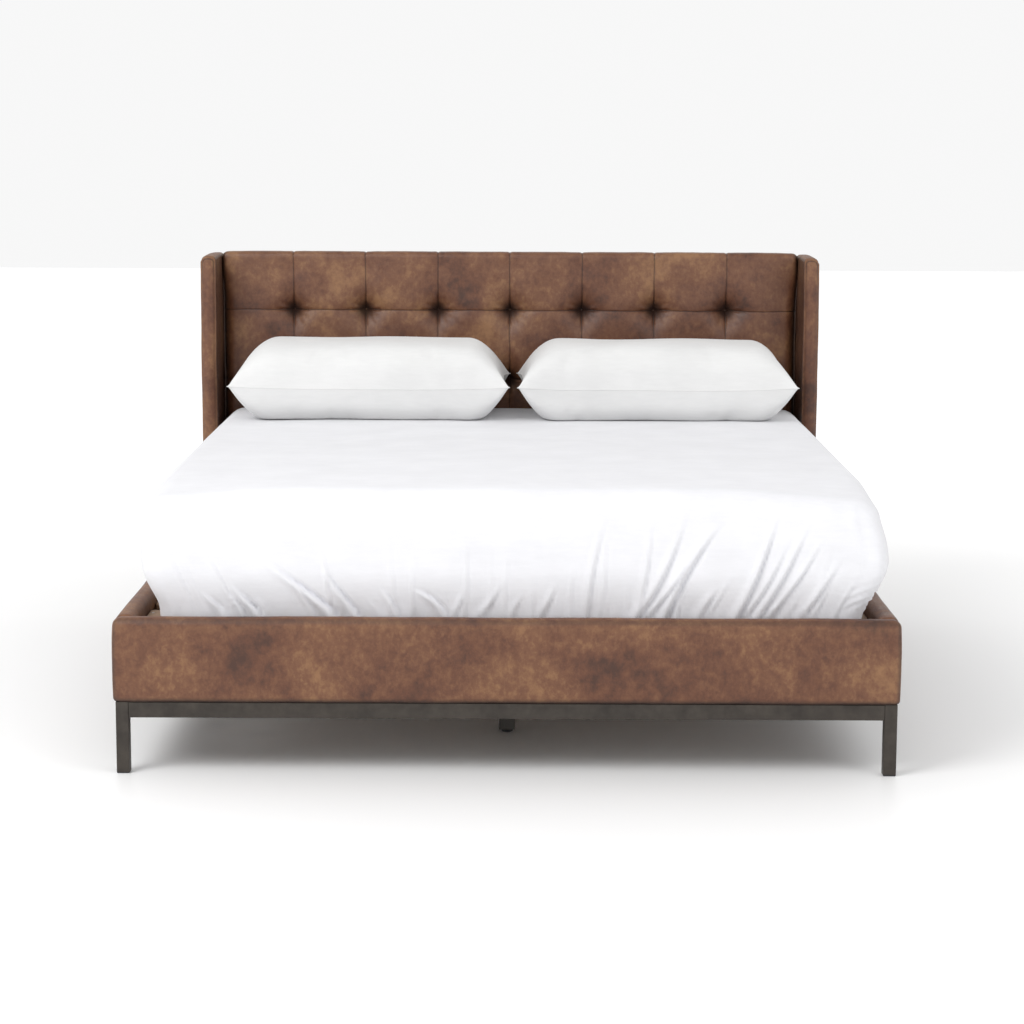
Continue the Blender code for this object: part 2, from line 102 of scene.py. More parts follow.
class Finish:
    """A material under construction, read in the frame's own metres."""

    def __init__(self, name, **constants):
        self.material = bpy.data.materials.new(name)
        self.material.use_nodes = True
        self.tree = self.material.node_tree
        self.shader = self.tree.nodes["Principled BSDF"]
        for socket, value in constants.items():
            self.shader.inputs[socket.replace("_", " ")].default_value = value
        self.place = self.node("ShaderNodeTexCoord", {}, {}, output=3)

    def node(self, kind, settings, sockets, output=0):
        """Adds a node: its settings first, then a value or a wire for each of its sockets."""
        made = self.tree.nodes.new(kind)
        for key, value in settings.items():
            if key == "stops":
                self.set_stops(made.color_ramp, value)
            else:
                setattr(made, key, value)
        for key, value in sockets.items():
            found = made.inputs[key] if isinstance(key, int) else self.find(made, key)
            self.plug(found, value)
        return Wire(self, made.outputs[output])

    @staticmethod
    def find(made, identifier):
        return next(socket for socket in made.inputs if socket.identifier == identifier)

    @staticmethod
    def set_stops(ramp, stops):
        while len(ramp.elements) < len(stops):
            ramp.elements.new(1.0)
        for element, (position, colour) in zip(ramp.elements, stops):
            element.position = position
            element.color = (*colour, 1.0)

    def plug(self, socket, value):
        if isinstance(value, Wire):
            self.tree.links.new(value.socket, socket)
        else:
            socket.default_value = value

    def stretched(self, scale):
        """The place multiplied by a scale for each axis."""
        return self.node("ShaderNodeMapping", {"vector_type": "POINT"}, {0: self.place, 3: scale})

    def grain(self, size, detail=3.0, rough=0.55, place=None, warp=0.0):
        """Soft noise whose features are about size metres across."""
        sockets = {
            "Vector": place or self.place,
            "Scale": 1 / size,
            "Detail": detail,
            "Roughness": rough,
            "Distortion": warp,
        }
        return self.node("ShaderNodeTexNoise", {}, sockets)

    def cells(self, size, feature="F1", output=0, place=None):
        """Cells of about size metres: by default the distance from the middle of each."""
        sockets = {"Vector": place or self.place, "Scale": 1 / size}
        return self.node("ShaderNodeTexVoronoi", {"feature": feature}, sockets, output)

    def bands(self, size, axis, warp=0.0, profile="SIN"):
        """Waves along an axis, about twice size metres apart."""
        settings = {"wave_type": "BANDS", "bands_direction": axis, "wave_profile": profile}
        sockets = {"Vector": self.place, "Scale": 1 / size / math.tau, "Distortion": warp}
        return self.node("ShaderNodeTexWave", settings, {**sockets, "Detail": 2.0})

    def ramp(self, factor, *stops):
        return self.node("ShaderNodeValToRGB", {"stops": stops}, {0: factor})

    def limits(self, value, low, high):
        """0 below low and 1 above high."""
        return self.node("ShaderNodeMapRange", {"clamp": True}, {0: value, 1: low, 2: high})

    def mixed(self, factor, first, second):
        """A blend of two colours."""
        first, second = ((*c, 1.0) if isinstance(c, tuple) else c for c in (first, second))
        sockets = {"Factor_Float": factor, "A_Color": first, "B_Color": second}
        return self.node("ShaderNodeMix", {"data_type": "RGBA"}, sockets, 2)

    def attribute(self, name):
        """A number that note() stored on the mesh."""
        settings = {"attribute_type": "GEOMETRY", "attribute_name": name}
        return self.node("ShaderNodeAttribute", settings, {}, output=2)

    def paint(self, colour, roughness=None, height=None, depth=0.0005, strength=0.5):
        """Feeds the shader and returns the finished material."""
        self.plug(self.shader.inputs["Base Color"], colour)
        if roughness is not None:
            self.plug(self.shader.inputs["Roughness"], roughness)
        if height is not None:
            sockets = {"Strength": strength, "Distance": depth, "Height": height}
            self.plug(self.shader.inputs["Normal"], self.node("ShaderNodeBump", {}, sockets))
        return self.material


# Finishes


def kept(name, make, *facts):
    """A finish is made once and shared."""
    return bpy.data.materials.get(name) or make(name, *facts)


def waxed_leather(name):
    """Pull-up leather: smoky red brown clouded with ochre, pebbled, with painted shade in its folds and
    a painted highlight along some edges.
    """
    tones = bpy.context.scene.bed_leather
    made = Finish(name, Specular_IOR_Level=0.42, Coat_Weight=0.05, Coat_Roughness=0.30)
    drift = made.grain(0.230, 3.0, 0.55, warp=0.4)
    cloud = made.grain(0.048, 5.0, 0.70, warp=0.3)
    fleck = made.grain(0.016, 4.0, 0.68, place=made.stretched((1.0, 1.0, 0.75)), warp=0.15)
    tone = drift * 0.50 + cloud * 0.30 + fleck * 0.20
    smoke, hide, warm, ochre = (tuple(c) for c in (tones.smoke, tones.hide, tones.warm, tones.ochre))
    colour = made.ramp(tone, (0.38, smoke), (0.46, hide), (0.54, warm), (0.63, ochre))
    scuff = made.limits(fleck, 0.50, 0.68) * made.limits(drift, 0.42, 0.56)
    polish = made.attribute("polish")
    colour = made.mixed(scuff * (0.42 - polish * 0.26), colour, ochre)
    # Wear and painted highlight: this attribute lightens worn edges and lit bands towards ochre.
    rub = made.attribute("rub") * made.limits(cloud, 0.35, 0.62)
    colour = made.mixed(rub * 0.55, colour, ochre)
    # Painted shade: this attribute darkens creases, seams, tuft hollows, gaps and turned-under edges
    # towards near black.
    fold = made.attribute("fold")
    colour = made.mixed(fold * 0.88, colour, (0.012, 0.006, 0.005))
    pebble = made.cells(0.0017, "DISTANCE_TO_EDGE")
    pore = made.grain(0.0009, 2.0)
    crease = made.cells(0.019, "DISTANCE_TO_EDGE", place=made.stretched((1.0, 1.0, 0.7)))
    skin = made.limits(pebble, 0.0, 0.25) * 0.5 + pore * 0.25
    skin = skin + made.limits(crease, 0.0, 0.035) * 0.35 + cloud * 0.9
    gloss = 0.39 - polish * 0.11 + made.limits(cloud, 0.35, 0.65) * 0.12
    gloss = gloss + made.limits(skin, 0.6, 1.6) * 0.08
    return made.paint(colour, gloss, skin, 0.0007, 0.42)


def gunmetal(name):
    """Blackened steel under wax: warm grey, streaked, slightly worn."""
    made = Finish(name, Specular_IOR_Level=0.5)
    streak = made.grain(0.012, 4.0, 0.6, place=made.stretched((0.35, 0.35, 0.35)))
    cloud = made.grain(0.090, 3.0, 0.6)
    scratch = made.grain(0.0022, 2.0, 0.7, place=made.stretched((0.08, 0.08, 1.0)))
    tone = cloud * 0.6 + streak * 0.4
    colour = made.ramp(tone, (0.35, (0.030, 0.025, 0.021)), (0.65, (0.068, 0.058, 0.049)))
    made.plug(made.shader.inputs["Metallic"], 0.35 + cloud * 0.4)
    gloss = 0.38 + streak * 0.16
    return made.paint(colour, gloss, scratch + streak * 0.6, 0.0002, 0.25)


def zinc(name):
    """Zinc plate with its crystals."""
    made = Finish(name, Metallic=1.0)
    spangle = made.cells(0.009, "F1", output=1)
    grey = made.node("ShaderNodeRGBToBW", {}, {0: spangle})
    cloud = made.grain(0.020, 3.0)
    colour = made.ramp(grey * 0.5 + cloud * 0.5, (0.2, (0.30, 0.30, 0.31)), (0.8, (0.56, 0.56, 0.55)))
    return made.paint(colour, 0.28 + grey * 0.22, cloud, 0.0002, 0.3)


def nylon(name):
    """Black moulded nylon with a spark-eroded texture."""
    made = Finish(name, Specular_IOR_Level=0.4)
    cloud = made.grain(0.030, 3.0)
    grit = made.grain(0.0009, 2.0, 0.7)
    colour = made.ramp(cloud, (0.3, (0.020, 0.020, 0.021)), (0.7, (0.042, 0.041, 0.041)))
    return made.paint(colour, 0.45 + cloud * 0.2, grit, 0.0002, 0.45)


def grained_wood(name, scale, light, dark, flecked=True):
    """Straight-grained wood. scale is small along the grain."""
    made = Finish(name, Specular_IOR_Level=0.35)
    line = made.stretched(scale)
    figure = made.grain(0.050, 5.0, 0.62, place=line, warp=1.2)
    pore = made.grain(0.0016, 3.0, 0.7, place=line)
    tone = figure * 0.7 + pore * 0.3
    colour = made.ramp(tone, (0.34, dark), (0.62, light))
    if flecked:
        ray = made.grain(0.0035, 1.0, 0.5, place=made.stretched([0.3 + 0.5 * s for s in scale]))
        colour = made.mixed(made.limits(ray, 0.62, 0.68) * 0.35, colour, dark)
    return made.paint(colour, 0.46 + pore * 0.2, pore + figure, 0.0003, 0.35)


def plywood(name, axis):
    """Birch plywood, with the edges of its veneers stacked along one axis."""
    made = Finish(name, Specular_IOR_Level=0.3)
    veneer = made.bands(0.0030, axis, profile="SAW")
    figure = made.grain(0.060, 5.0, 0.6, place=made.stretched((0.15, 0.15, 1.6)), warp=1.5)
    pore = made.grain(0.0018, 3.0, 0.6, place=made.stretched((0.3, 0.3, 1.0)))
    tone = figure * 0.5 + veneer * 0.3 + pore * 0.2
    colour = made.ramp(tone, (0.25, (0.30, 0.18, 0.09)), (0.75, (0.60, 0.43, 0.26)))
    return made.paint(colour, 0.55 + pore * 0.2, pore + veneer * 0.5, 0.0003, 0.3)


def cotton(name, tone, thread=0.0011, loft=0.00015):
    """Plain-woven cotton: crossing threads, faint slubs."""
    made = Finish(name, Specular_IOR_Level=0.25, Sheen_Weight=0.25, Sheen_Roughness=0.5)
    warp_threads = made.bands(thread, "X", 0.4)
    weft_threads = made.bands(thread, "Z", 0.4) * 0.5 + made.bands(thread, "Y", 0.4) * 0.5
    slub = made.grain(0.010, 4.0, 0.65, place=made.stretched((0.2, 1.0, 1.0)))
    cloud = made.grain(0.150, 2.0)
    shade = tuple(c * 0.93 for c in tone)
    colour = made.mixed(made.limits(slub * 0.4 + cloud * 0.6, 0.35, 0.65), shade, tone)
    # Painted shade: this attribute darkens the cloth towards lavender grey in its folds and low on its
    # sides.
    hollow = tuple(c * dim for c, dim in zip(tone, (0.58, 0.60, 0.76)))
    colour = made.mixed(made.attribute("fold") * 0.5, colour, hollow)
    height = warp_threads * 0.5 + weft_threads * 0.5 + slub * 0.8
    return made.paint(colour, 0.82 + slub * 0.1, height, loft, 0.5)


def ticking(name):
    """Damask mattress ticking: a small woven lozenge on a knitted ground."""
    made = Finish(name, Specular_IOR_Level=0.3, Sheen_Weight=0.2)
    across = made.bands(0.030, "DIAGONAL")
    rib = made.bands(0.0022, "X") * 0.5 + made.bands(0.0022, "Y") * 0.5
    lozenge = made.cells(0.028, "F1")
    tone = made.limits(across * 0.5 + lozenge * 0.9, 0.35, 0.75)
    colour = made.mixed(tone, (0.62, 0.61, 0.58), (0.74, 0.73, 0.70))
    return made.paint(colour, 0.7 + rib * 0.15, rib * 0.4 + tone, 0.0004, 0.5)


def bed_leather():
    return kept("leather_brown", waxed_leather)


def bed_cotton():
    return kept("cotton_sheet", cotton, tuple(bpy.context.scene.bed_bedding.sheet_tone))


def bed_pillow_cotton():
    tone = tuple(bpy.context.scene.bed_bedding.pillow_tone)
    return kept("cotton_pillow", cotton, tone, 0.0013, 0.0002)


# Shapes


def places_of(bm):
    """The places of a mesh's corners, as an (n, 3) array."""
    return np.array([vert.co[:] for vert in bm.verts])


def reshape(bm, shape):
    """Moves a mesh's corners by a function of their places."""
    for vert, place in zip(bm.verts, shape(places_of(bm))):
        vert.co = place


def lattice(*lines):
    """A closed box cut along planes across each axis, at the places in three rising lists."""
    bm = bmesh.new()
    bmesh.ops.create_cube(bm, size=1.0, matrix=Matrix.Translation((0.5, 0.5, 0.5)))
    for axis, places in enumerate(lines):
        along = [e for e in bm.edges if abs((e.verts[0].co - e.verts[1].co)[axis]) > 0.5]
        if len(places) > 2:
            bmesh.ops.subdivide_edges(bm, edges=along, cuts=len(places) - 2, use_grid_fill=True)

    def spread(unit):
        index = [np.rint(unit[:, a] * (len(lines[a]) - 1)).astype(int) for a in range(3)]
        return np.stack([np.asarray(lines[a])[index[a]] for a in range(3)], axis=1)

    reshape(bm, spread)
    return bm


def cuts(low, high, roll, cell, extra=()):
    """Places for a lattice's cuts: close together over the rolled edges, then a cell apart."""
    edge = [roll * (1 - math.tan(math.pi / 4 * step / 3)) for step in (3, 2, 1, 0)]
    flat = high - low - 2 * roll
    count = max(1, round(flat / cell))
    middle = [low + roll + flat * step / count for step in range(1, count)]
    places = [low + s for s in edge] + middle + [high - s for s in reversed(edge)]
    kept_places = [p for p in places if all(abs(p - e) > cell / 4 for e in extra)]
    return sorted(set(kept_places) | set(extra))


def rolled(places, low, high, roll, corner=0.0):
    """Rolls a block's edges over to a radius, which may differ from place to place. corner is added to
    the radius of its upright edges."""
    low, high = np.array(low), np.array(high)
    roll = np.broadcast_to(roll, len(places))[:, None]
    core = np.clip(places, low + roll, high - roll)
    inner = np.clip(core[:, :2], (low + roll + corner)[:, :2], (high - roll - corner)[:, :2])
    away = core[:, :2] - inner
    length = np.linalg.norm(away, axis=1, keepdims=True)
    core[:, :2] = inner + away * np.minimum(1, corner / np.maximum(length, 1e-9))
    away = places - core
    length = np.linalg.norm(away, axis=1, keepdims=True)
    return core + away * roll / np.maximum(length, 1e-9)


def ripple(places, size, height, seed):
    """A soft wandering of every place, about height metres each way."""
    shift = Vector((seed * 3.7, seed * 1.3, seed * 2.1))
    moved = [noise.noise_vector(Vector(p) / size + shift)[:] for p in places]
    return places + height * np.array(moved)


def crowned(places, low, high, swell):
    """Padding under a cover: each face swells in the middle."""
    low, high = np.array(low), np.array(high)
    middle, half = (low + high) / 2, (high - low) / 2
    unit = np.clip((places - middle) / half, -1, 1)
    fade = 1 - np.abs(unit) ** np.maximum(2.0, half / 0.05)
    grown = places.copy()
    for axis in range(3):
        others = [a for a in range(3) if a != axis]
        grown[:, axis] += swell * unit[:, axis] * fade[:, others].prod(axis=1)
    return grown


def smooth(value, start, stop):
    """0 before start, 1 after stop, easing between. Start may be the higher."""
    share = np.clip((value - start) / (stop - start), 0, 1)
    return share * share * (3 - 2 * share)


def bell(value, width):
    """1 at 0, fading to nothing about two widths away."""
    return np.exp(-((value / width) ** 2))


def note(bm, name, values):
    """Stores a number on each corner for the finish to read."""
    layer = bm.verts.layers.float.new(name)
    for vert, value in zip(bm.verts, values):
        vert[layer] = float(value)


def piece(name, bm, finish, body, slot, replaced=()):
    """A finished piece that rides on a body of the frame and stands for its CAD nodes."""
    bmesh.ops.recalc_face_normals(bm, faces=bm.faces[:])
    mesh = bpy.data.meshes.new(name)
    bm.to_mesh(mesh)
    bm.free()
    mesh.shade_smooth()
    mesh.materials.append(finish)
    obj = bpy.data.objects.new(name, mesh)
    bpy.context.scene.collection.objects.link(obj)
    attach(obj, body)
    if replaced:
        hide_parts(*replaced)
    return obj


def leather_piece(name, bm, replaced=()):
    return piece(name, bm, bed_leather(), "bed_frame", "brown_leather", replaced)


def rub_of(places, low, high, reach=0.014):
    """1 on a block's edges, fading over its faces: where hands and knees polish it."""
    low, high = np.array(low), np.array(high)
    depth = np.sort(np.minimum(places - low, high - places), axis=1)
    return 1 - smooth(depth[:, 1], 0.0, reach)


# Sizes and colours


def length(name, description, default):
    return FloatProperty(name=name, description=description, default=default, min=0.0, unit="LENGTH")


def amount(name, description, default):
    return FloatProperty(name=name, description=description, default=default, min=0.0)


def tone(name, description, default):
    return FloatVectorProperty(
        name=name, description=description, default=default, min=0.0, max=1.0, size=3, subtype="COLOR"
    )


class BedLeatherSettings(PropertyGroup):
    smoke: tone("Smoke", "Darkest clouds in the leather", (0.060, 0.024, 0.014))
    hide: tone("Hide", "Red brown of most of the leather", (0.112, 0.042, 0.021))
    warm: tone("Warm", "Lighter brown between the clouds", (0.156, 0.066, 0.032))
    ochre: tone("Ochre", "Lightest patches and rubbed edges", (0.240, 0.120, 0.054))
    rail_roll: length("Rail roll", "Radius of the rails' padded edges", 0.020)
    wing_roll: length("Wing roll", "Radius of the wings' padded edges", 0.010)
    swell: length("Swell", "How far the padding pushes each face out", 0.0022)


class BedTuftingSettings(PropertyGroup):
    columns: IntProperty(name="Columns", description="Upright seams across the pad", default=7, min=1)
    rows: IntProperty(name="Rows", description="Level seams down the pad", default=3, min=1)
    column_pitch: length("Column pitch", "Between upright seams", 0.2446)
    row_pitch: length("Row pitch", "Between level seams", 0.236)
    first_row: length("First row", "From the pad's top down to the first level seam", 0.195)
    pull: length("Pull", "How deep each tuft is drawn in", 0.050)
    reach: length("Reach", "Half the diagonal of the diamond round each tuft", 0.118)
    valley: length("Valley", "How far the padding sinks along a seam", 0.0048)
    groove: length("Groove", "Depth of the stitched seam", 0.0032)
    pleat: length("Pleat", "Height of the small pleats round each tuft", 0.0026)
    button: length("Button", "Radius of the covered buttons", 0.0085)


class BedBeddingSettings(PropertyGroup):
    sheet_tone: tone("Sheet", "Colour of the fitted sheet", (0.745, 0.745, 0.770))
    pillow_tone: tone("Pillow", "Colour of the pillowcases", (0.715, 0.715, 0.71))
    bulge: length("Bulge", "How far the mattress's sides swell", 0.019)
    hem: length("Hem", "How far the sheet turns in under the mattress", 0.080)
    fold: length("Fold", "Height of the sheet's larger folds", 0.0100)
    pillow_pull: length("Pillow pull", "How far a pillow's sides draw in between its corners", 0.013)
    plump_cap: length("Plump cap", "Furthest the filling may move the cloth", 0.016)
    seam_sag: length("Seam sag", "How far a pillow's seam hangs between its corners", 0.010)


class BedStageSettings(PropertyGroup):
    sky: amount("Sky", "Strength of the white surround overhead", 0.80)
    key: amount("Key", "Power of the left soft light, in watts", 262)
    fill: amount("Fill", "Power of the right soft light, in watts", 62)
    floor_tone: tone("Floor", "Colour of the floor", (0.90, 0.90, 0.90))
    lens: amount("Lens", "Focal length of the camera, in millimetres", 87.99)


# Frame pieces


def covered_rail(name, node, roll, swell, slot_side, seed):
    """A rail's leather over its padding. The leather stops at a slot in the inner face, where the board
    shows. slot_side is the axis and the sign that the inner face looks along."""
    low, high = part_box(node)
    axis, sign = slot_side
    along = 1 - axis
    slot_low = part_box("corner_bracket_foot_left")[0].z
    slot_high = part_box("cleat_left")[1].z
    margin = 0.001 if along == 1 else 0.012
    slot_depth, cell, crest_drop, wrap = 0.0048, 0.020, 0.026, 0.010
    slot_ends = low[along] + margin, high[along] - margin
    extra = {along: slot_ends, 2: (slot_low, slot_high)}
    lines = [cuts(low[a], high[a], roll, cell, extra.get(a, ())) for a in range(3)]
    bm = lattice(*lines)
    face_at = high[axis] if sign > 0 else low[axis]
    inside = []
    for face in bm.faces:
        middle = face.calc_center_median()
        within = slot_ends[0] < middle[along] < slot_ends[1]
        if abs(middle[axis] - face_at) < 1e-5 and within and slot_low < middle.z < slot_high:
            inside.append(face)
    places = places_of(bm)
    rise = places[:, 2]
    outside = places[:, axis] - low[axis] if sign > 0 else high[axis] - places[:, axis]
    ends = np.minimum(places[:, along] - low[along], high[along] - places[:, along])
    # Painted highlight: crest lightens a band along the rounded top edge; the share along all edges is
    # wear.
    crest = bell(rise - (high.z - crest_drop), 0.009) * smooth(outside, wrap, 0.0)
    note(bm, "rub", np.maximum(0.5 * rub_of(places, low, high), 0.8 * crest))
    note(bm, "polish", crest)
    # Painted shade: the bottom roll where the leather turns under, a line at the top front edge and the
    # turned ends are darkened.
    lip = smooth(rise, low.z + 0.013, low.z + 0.003)
    edge = smooth(rise, high.z - 0.016, high.z - 0.004) * smooth(outside, 0.016, 0.004)
    turned = 0.6 * smooth(ends, wrap, 0.0) * smooth(outside, wrap, 0.0)
    note(bm, "fold", np.max([0.95 * lip, 0.45 * edge, turned], axis=0))

    def cover(at):
        upper = smooth(at[:, 2], high.z - 0.060, high.z - roll)
        lying = rolled(at, low, high, roll * (0.55 + 0.45 * upper))
        lying = crowned(lying, low, high, swell)
        soft = ripple(lying, 0.16, 0.0016, seed)
        soft = ripple(soft, 0.045, 0.0005, seed + 1)
        tuck = bell(at[:, 2] - (low.z + 0.006), 0.0035)
        outward = np.where(at[:, axis] == (low[axis] if sign > 0 else high[axis]), 1.0, 0.0)
        soft[:, axis] += sign * 0.0012 * tuck * outward
        return soft

    reshape(bm, cover)
    grown = bmesh.ops.extrude_face_region(bm, geom=inside)["geom"]
    floor = [item for item in grown if isinstance(item, bmesh.types.BMVert)]
    step = Vector((0, 0, 0))
    step[axis] = -sign * slot_depth
    bmesh.ops.translate(bm, verts=floor, vec=step)
    bmesh.ops.delete(bm, geom=[f for f in inside if f.is_valid], context="FACES_ONLY")
    return leather_piece(name, bm, [node])


class BED_OT_rails(Operator):
    """Cover the foot rail and the side rails"""

    bl_idname = "bed.rails"
    bl_label = "Rails"

    def execute(self, context):
        leather = context.scene.bed_leather
        roll, swell = leather.rail_roll, leather.swell
        covered_rail("foot_rail_leather", "foot_rail_cover", roll, swell, (1, 1), 1)
        for seed, (side, sign) in enumerate(SIDES, 4):
            node = f"side_rail_cover_{side}"
            covered_rail(f"side_rail_leather_{side}", node, roll, swell, (0, -sign), seed)
        return {"FINISHED"}


class BED_OT_wings(Operator):
    """Cover the two wings, boxed with a stitched front panel"""

    bl_idname = "bed.wings"
    bl_label = "Wings"

    def execute(self, context):
        leather = context.scene.bed_leather
        for side, sign in SIDES:
            self.wing(side, sign, leather.wing_roll, leather.swell)
        return {"FINISHED"}

    def wing(self, side, sign, roll, swell):
        node = f"wing_cover_{side}"
        low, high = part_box(node)
        fine_top = [high.z - 0.030 + 0.002 * step for step in range(12)]
        bm = lattice(
            cuts(low.x, high.x, roll, 0.0020),
            cuts(low.y, high.y, roll, 0.0120),
            cuts(low.z, high.z, roll, 0.0090, fine_top),
        )
        places = places_of(bm)
        note(bm, "rub", rub_of(places, low, high, 0.010))
        outward = sign * (places[:, 0] - (low.x + high.x) / 2) / (high.x - low.x) * 2
        seam = self.seam(places, low, high)
        front = places[:, 1] < low.y + 1e-5
        # Painted shade: darker along the front panel's seam, most near the top, and on the inner face
        # beside the pad.
        upper = 0.25 + 0.75 * smooth(places[:, 2], high.z - 0.10, high.z - 0.03)
        inner = smooth(-outward, 0.90, 1.0) * np.where(front, 0.0, 0.6)
        note(bm, "fold", np.where(front, upper * 0.85 * bell(seam, 0.0018), inner))

        def cover(at):
            lying = crowned(rolled(at, low, high, roll), low, high, swell)
            across = 1 - (outward * 1.05) ** 2
            face = np.where(front, 1.0, 0.0)
            full = 0.0050 + 0.0050 * smooth(at[:, 2], RAIL_TOP + 0.01, RAIL_TOP + 0.08)
            lying[:, 1] -= face * (full * np.clip(across, 0, 1) - 0.0025)
            lying[:, 1] += face * 0.0024 * bell(seam, 0.0014)
            near_top = smooth(at[:, 2], high.z - 0.050, high.z - 0.006)
            lying[:, 2] -= near_top * (0.013 * np.clip((outward - 0.05) / 0.95, 0, 1) ** 2)
            lying[:, 2] -= near_top * 0.004 * np.clip(-outward, 0, 1) ** 4
            lying = ripple(lying, 0.14, 0.0016, 9 + sign)
            return ripple(lying, 0.038, 0.0004, 12 + sign)

        reshape(bm, cover)
        leather_piece(f"wing_leather_{side}", bm, [node])

    @staticmethod
    def seam(places, low, high):
        """Distance from the seam round the front panel, which follows its outline with rounded ends."""
        inset, corner = 0.0065, 0.011
        middle = (low.x + high.x) / 2
        half = (high.x - low.x) / 2 - inset - corner
        across = np.abs(places[:, 0] - middle) - half
        up = places[:, 2] - (high.z - 0.004 - inset - corner)
        outside = np.hypot(np.maximum(across, 0), np.maximum(up, 0))
        within = np.minimum(np.maximum(across, up), 0)
        return outside + within - corner


class BED_OT_tufted_pad(Operator):
    """Model the tufted pad and its covered buttons"""

    bl_idname = "bed.tufted_pad"
    bl_label = "Tufted pad"

    def execute(self, context):
        tufts = context.scene.bed_tufting
        low, high = PAD_LOW, PAD_HIGH
        columns = [(i - (tufts.columns - 1) / 2) * tufts.column_pitch for i in range(tufts.columns)]
        rows = [high.z - tufts.first_row - i * tufts.row_pitch for i in range(tufts.rows)]
        self.columns, self.rows = np.array(columns), np.array(rows)
        self.tufts = tufts
        steps = (-0.0085, -0.0040, -0.0020, 0.0, 0.0020, 0.0040, 0.0085)
        roll, cell = 0.024, 0.0075
        lines = (
            cuts(low.x, high.x, roll, cell, [c + s for c in columns for s in steps]),
            cuts(low.y, high.y, 0.014, 0.0110),
            cuts(low.z, high.z, roll, cell, [r + s for r in rows for s in steps]),
        )
        bm = lattice(*lines)
        places = places_of(bm)
        reach, column, row, groove = self.measure(places)
        # Painted shade: darker in the seams, the tuft cores and funnels, and beside the wings.
        core = smooth(np.hypot(column, row), 0.042, 0.010)
        folds = 0.75 * groove + 0.80 * core + 0.30 * np.clip(1 - reach / tufts.reach, 0, 1) ** 1.5
        beside = np.minimum(high.x - places[:, 0], places[:, 0] - low.x)
        folds += 0.9 * smooth(beside, 0.016, 0.0)
        front = smooth(places[:, 1], high.y, low.y)
        note(bm, "fold", np.clip(folds * front, 0, 1))
        # Painted highlight: lighter along the top edge, away from the sides.
        note(bm, "rub", 0.30 * smooth(places[:, 2], high.z - 0.02, high.z) * smooth(beside, 0.0, 0.03))
        note(bm, "polish", np.ones(len(places)))
        reshape(bm, self.draw_in)
        leather_piece("tufted_pad_leather", bm, ["tufted_pad"])
        self.buttons()
        return {"FINISHED"}

    def measure(self, places):
        """Distance from the nearest tuft, upright seam and level seam, and the strength of a seam."""
        x, z = places[:, 0], places[:, 2]
        column = np.abs(x[:, None] - self.columns).min(axis=1)
        row = np.abs(z[:, None] - self.rows).min(axis=1)
        groove = np.maximum(bell(column, 0.0015), bell(row, 0.0015))
        return column + row, column, row, groove

    def dent(self, places):
        tufts = self.tufts
        reach, column, row, groove = self.measure(places)
        funnel = np.clip(1 - reach / tufts.reach, 0, 1)
        spread = np.hypot(column, row)
        deep = tufts.pull * (0.50 * funnel**1.7 + 0.50 * np.exp(-((spread / 0.024) ** 1.25)))
        pleats, ring = 12, 0.034
        deep += tufts.pleat * np.cos(pleats * np.arctan2(row, column)) * bell(spread - ring, 0.018)
        sink = tufts.valley * np.maximum(bell(column, 0.030), 0.4 * bell(row, 0.018))
        sink *= smooth(PAD_HIGH.z - places[:, 2], 0.0, 0.060)
        return deep + sink + tufts.groove * groove

    def draw_in(self, places):
        low, high = PAD_LOW, PAD_HIGH
        down = smooth(places[:, 2], high.z - 0.030, high.z - 0.190)
        lying = rolled(places, low, high, 0.014 + 0.015 * down)
        lying = crowned(lying, low, high, 0.003)
        front = smooth(places[:, 1], high.y, low.y) * (places[:, 1] < high.y - 0.004)
        dent = self.dent(lying)
        facing = np.where(places[:, 1] < low.y + 0.013, 1.0, front * 0.4)
        lying[:, 1] += dent * facing
        beside = np.minimum(high.x - lying[:, 0], lying[:, 0] - low.x)
        lying[:, 1] += 0.020 * down * (1 - smooth(beside, 0.0, 0.045)) ** 2 * facing
        top = places[:, 2] > high.z - 0.013
        column = np.abs(lying[:, 0][:, None] - self.columns).min(axis=1)
        notch = 0.0026 * bell(column, 0.0035) + 0.0008 * bell(column, 0.030)
        lying[:, 2] -= np.where(top, notch, 0)
        soft = ripple(lying, 0.11, 0.0022, 21)
        soft[:, 2] += np.where(top, 0.75 * (lying[:, 2] - soft[:, 2]), 0)
        return ripple(soft, 0.035, 0.0007, 22)

    def buttons(self):
        """Small leather-covered domes at the bottom of the tufts."""
        tufts = self.tufts
        bm = bmesh.new()
        flat = Matrix.Rotation(math.pi / 2, 4, "X") @ Matrix.Diagonal((1, 1, 0.55, 1))
        for x in self.columns:
            for z in self.rows:
                centre = np.array([[x + 1e-6, PAD_LOW.y, z]])
                depth = PAD_LOW.y + self.dent(centre)[0]
                place = Matrix.Translation((x, depth - 0.0015, z)) @ flat
                bmesh.ops.create_uvsphere(
                    bm, u_segments=14, v_segments=8, radius=tufts.button, matrix=place
                )
        # Painted shade: the buttons are darkened, as they sit in the shadow of their dimples.
        note(bm, "fold", np.full(len(bm.verts), 0.55))
        leather_piece("tuft_buttons", bm)


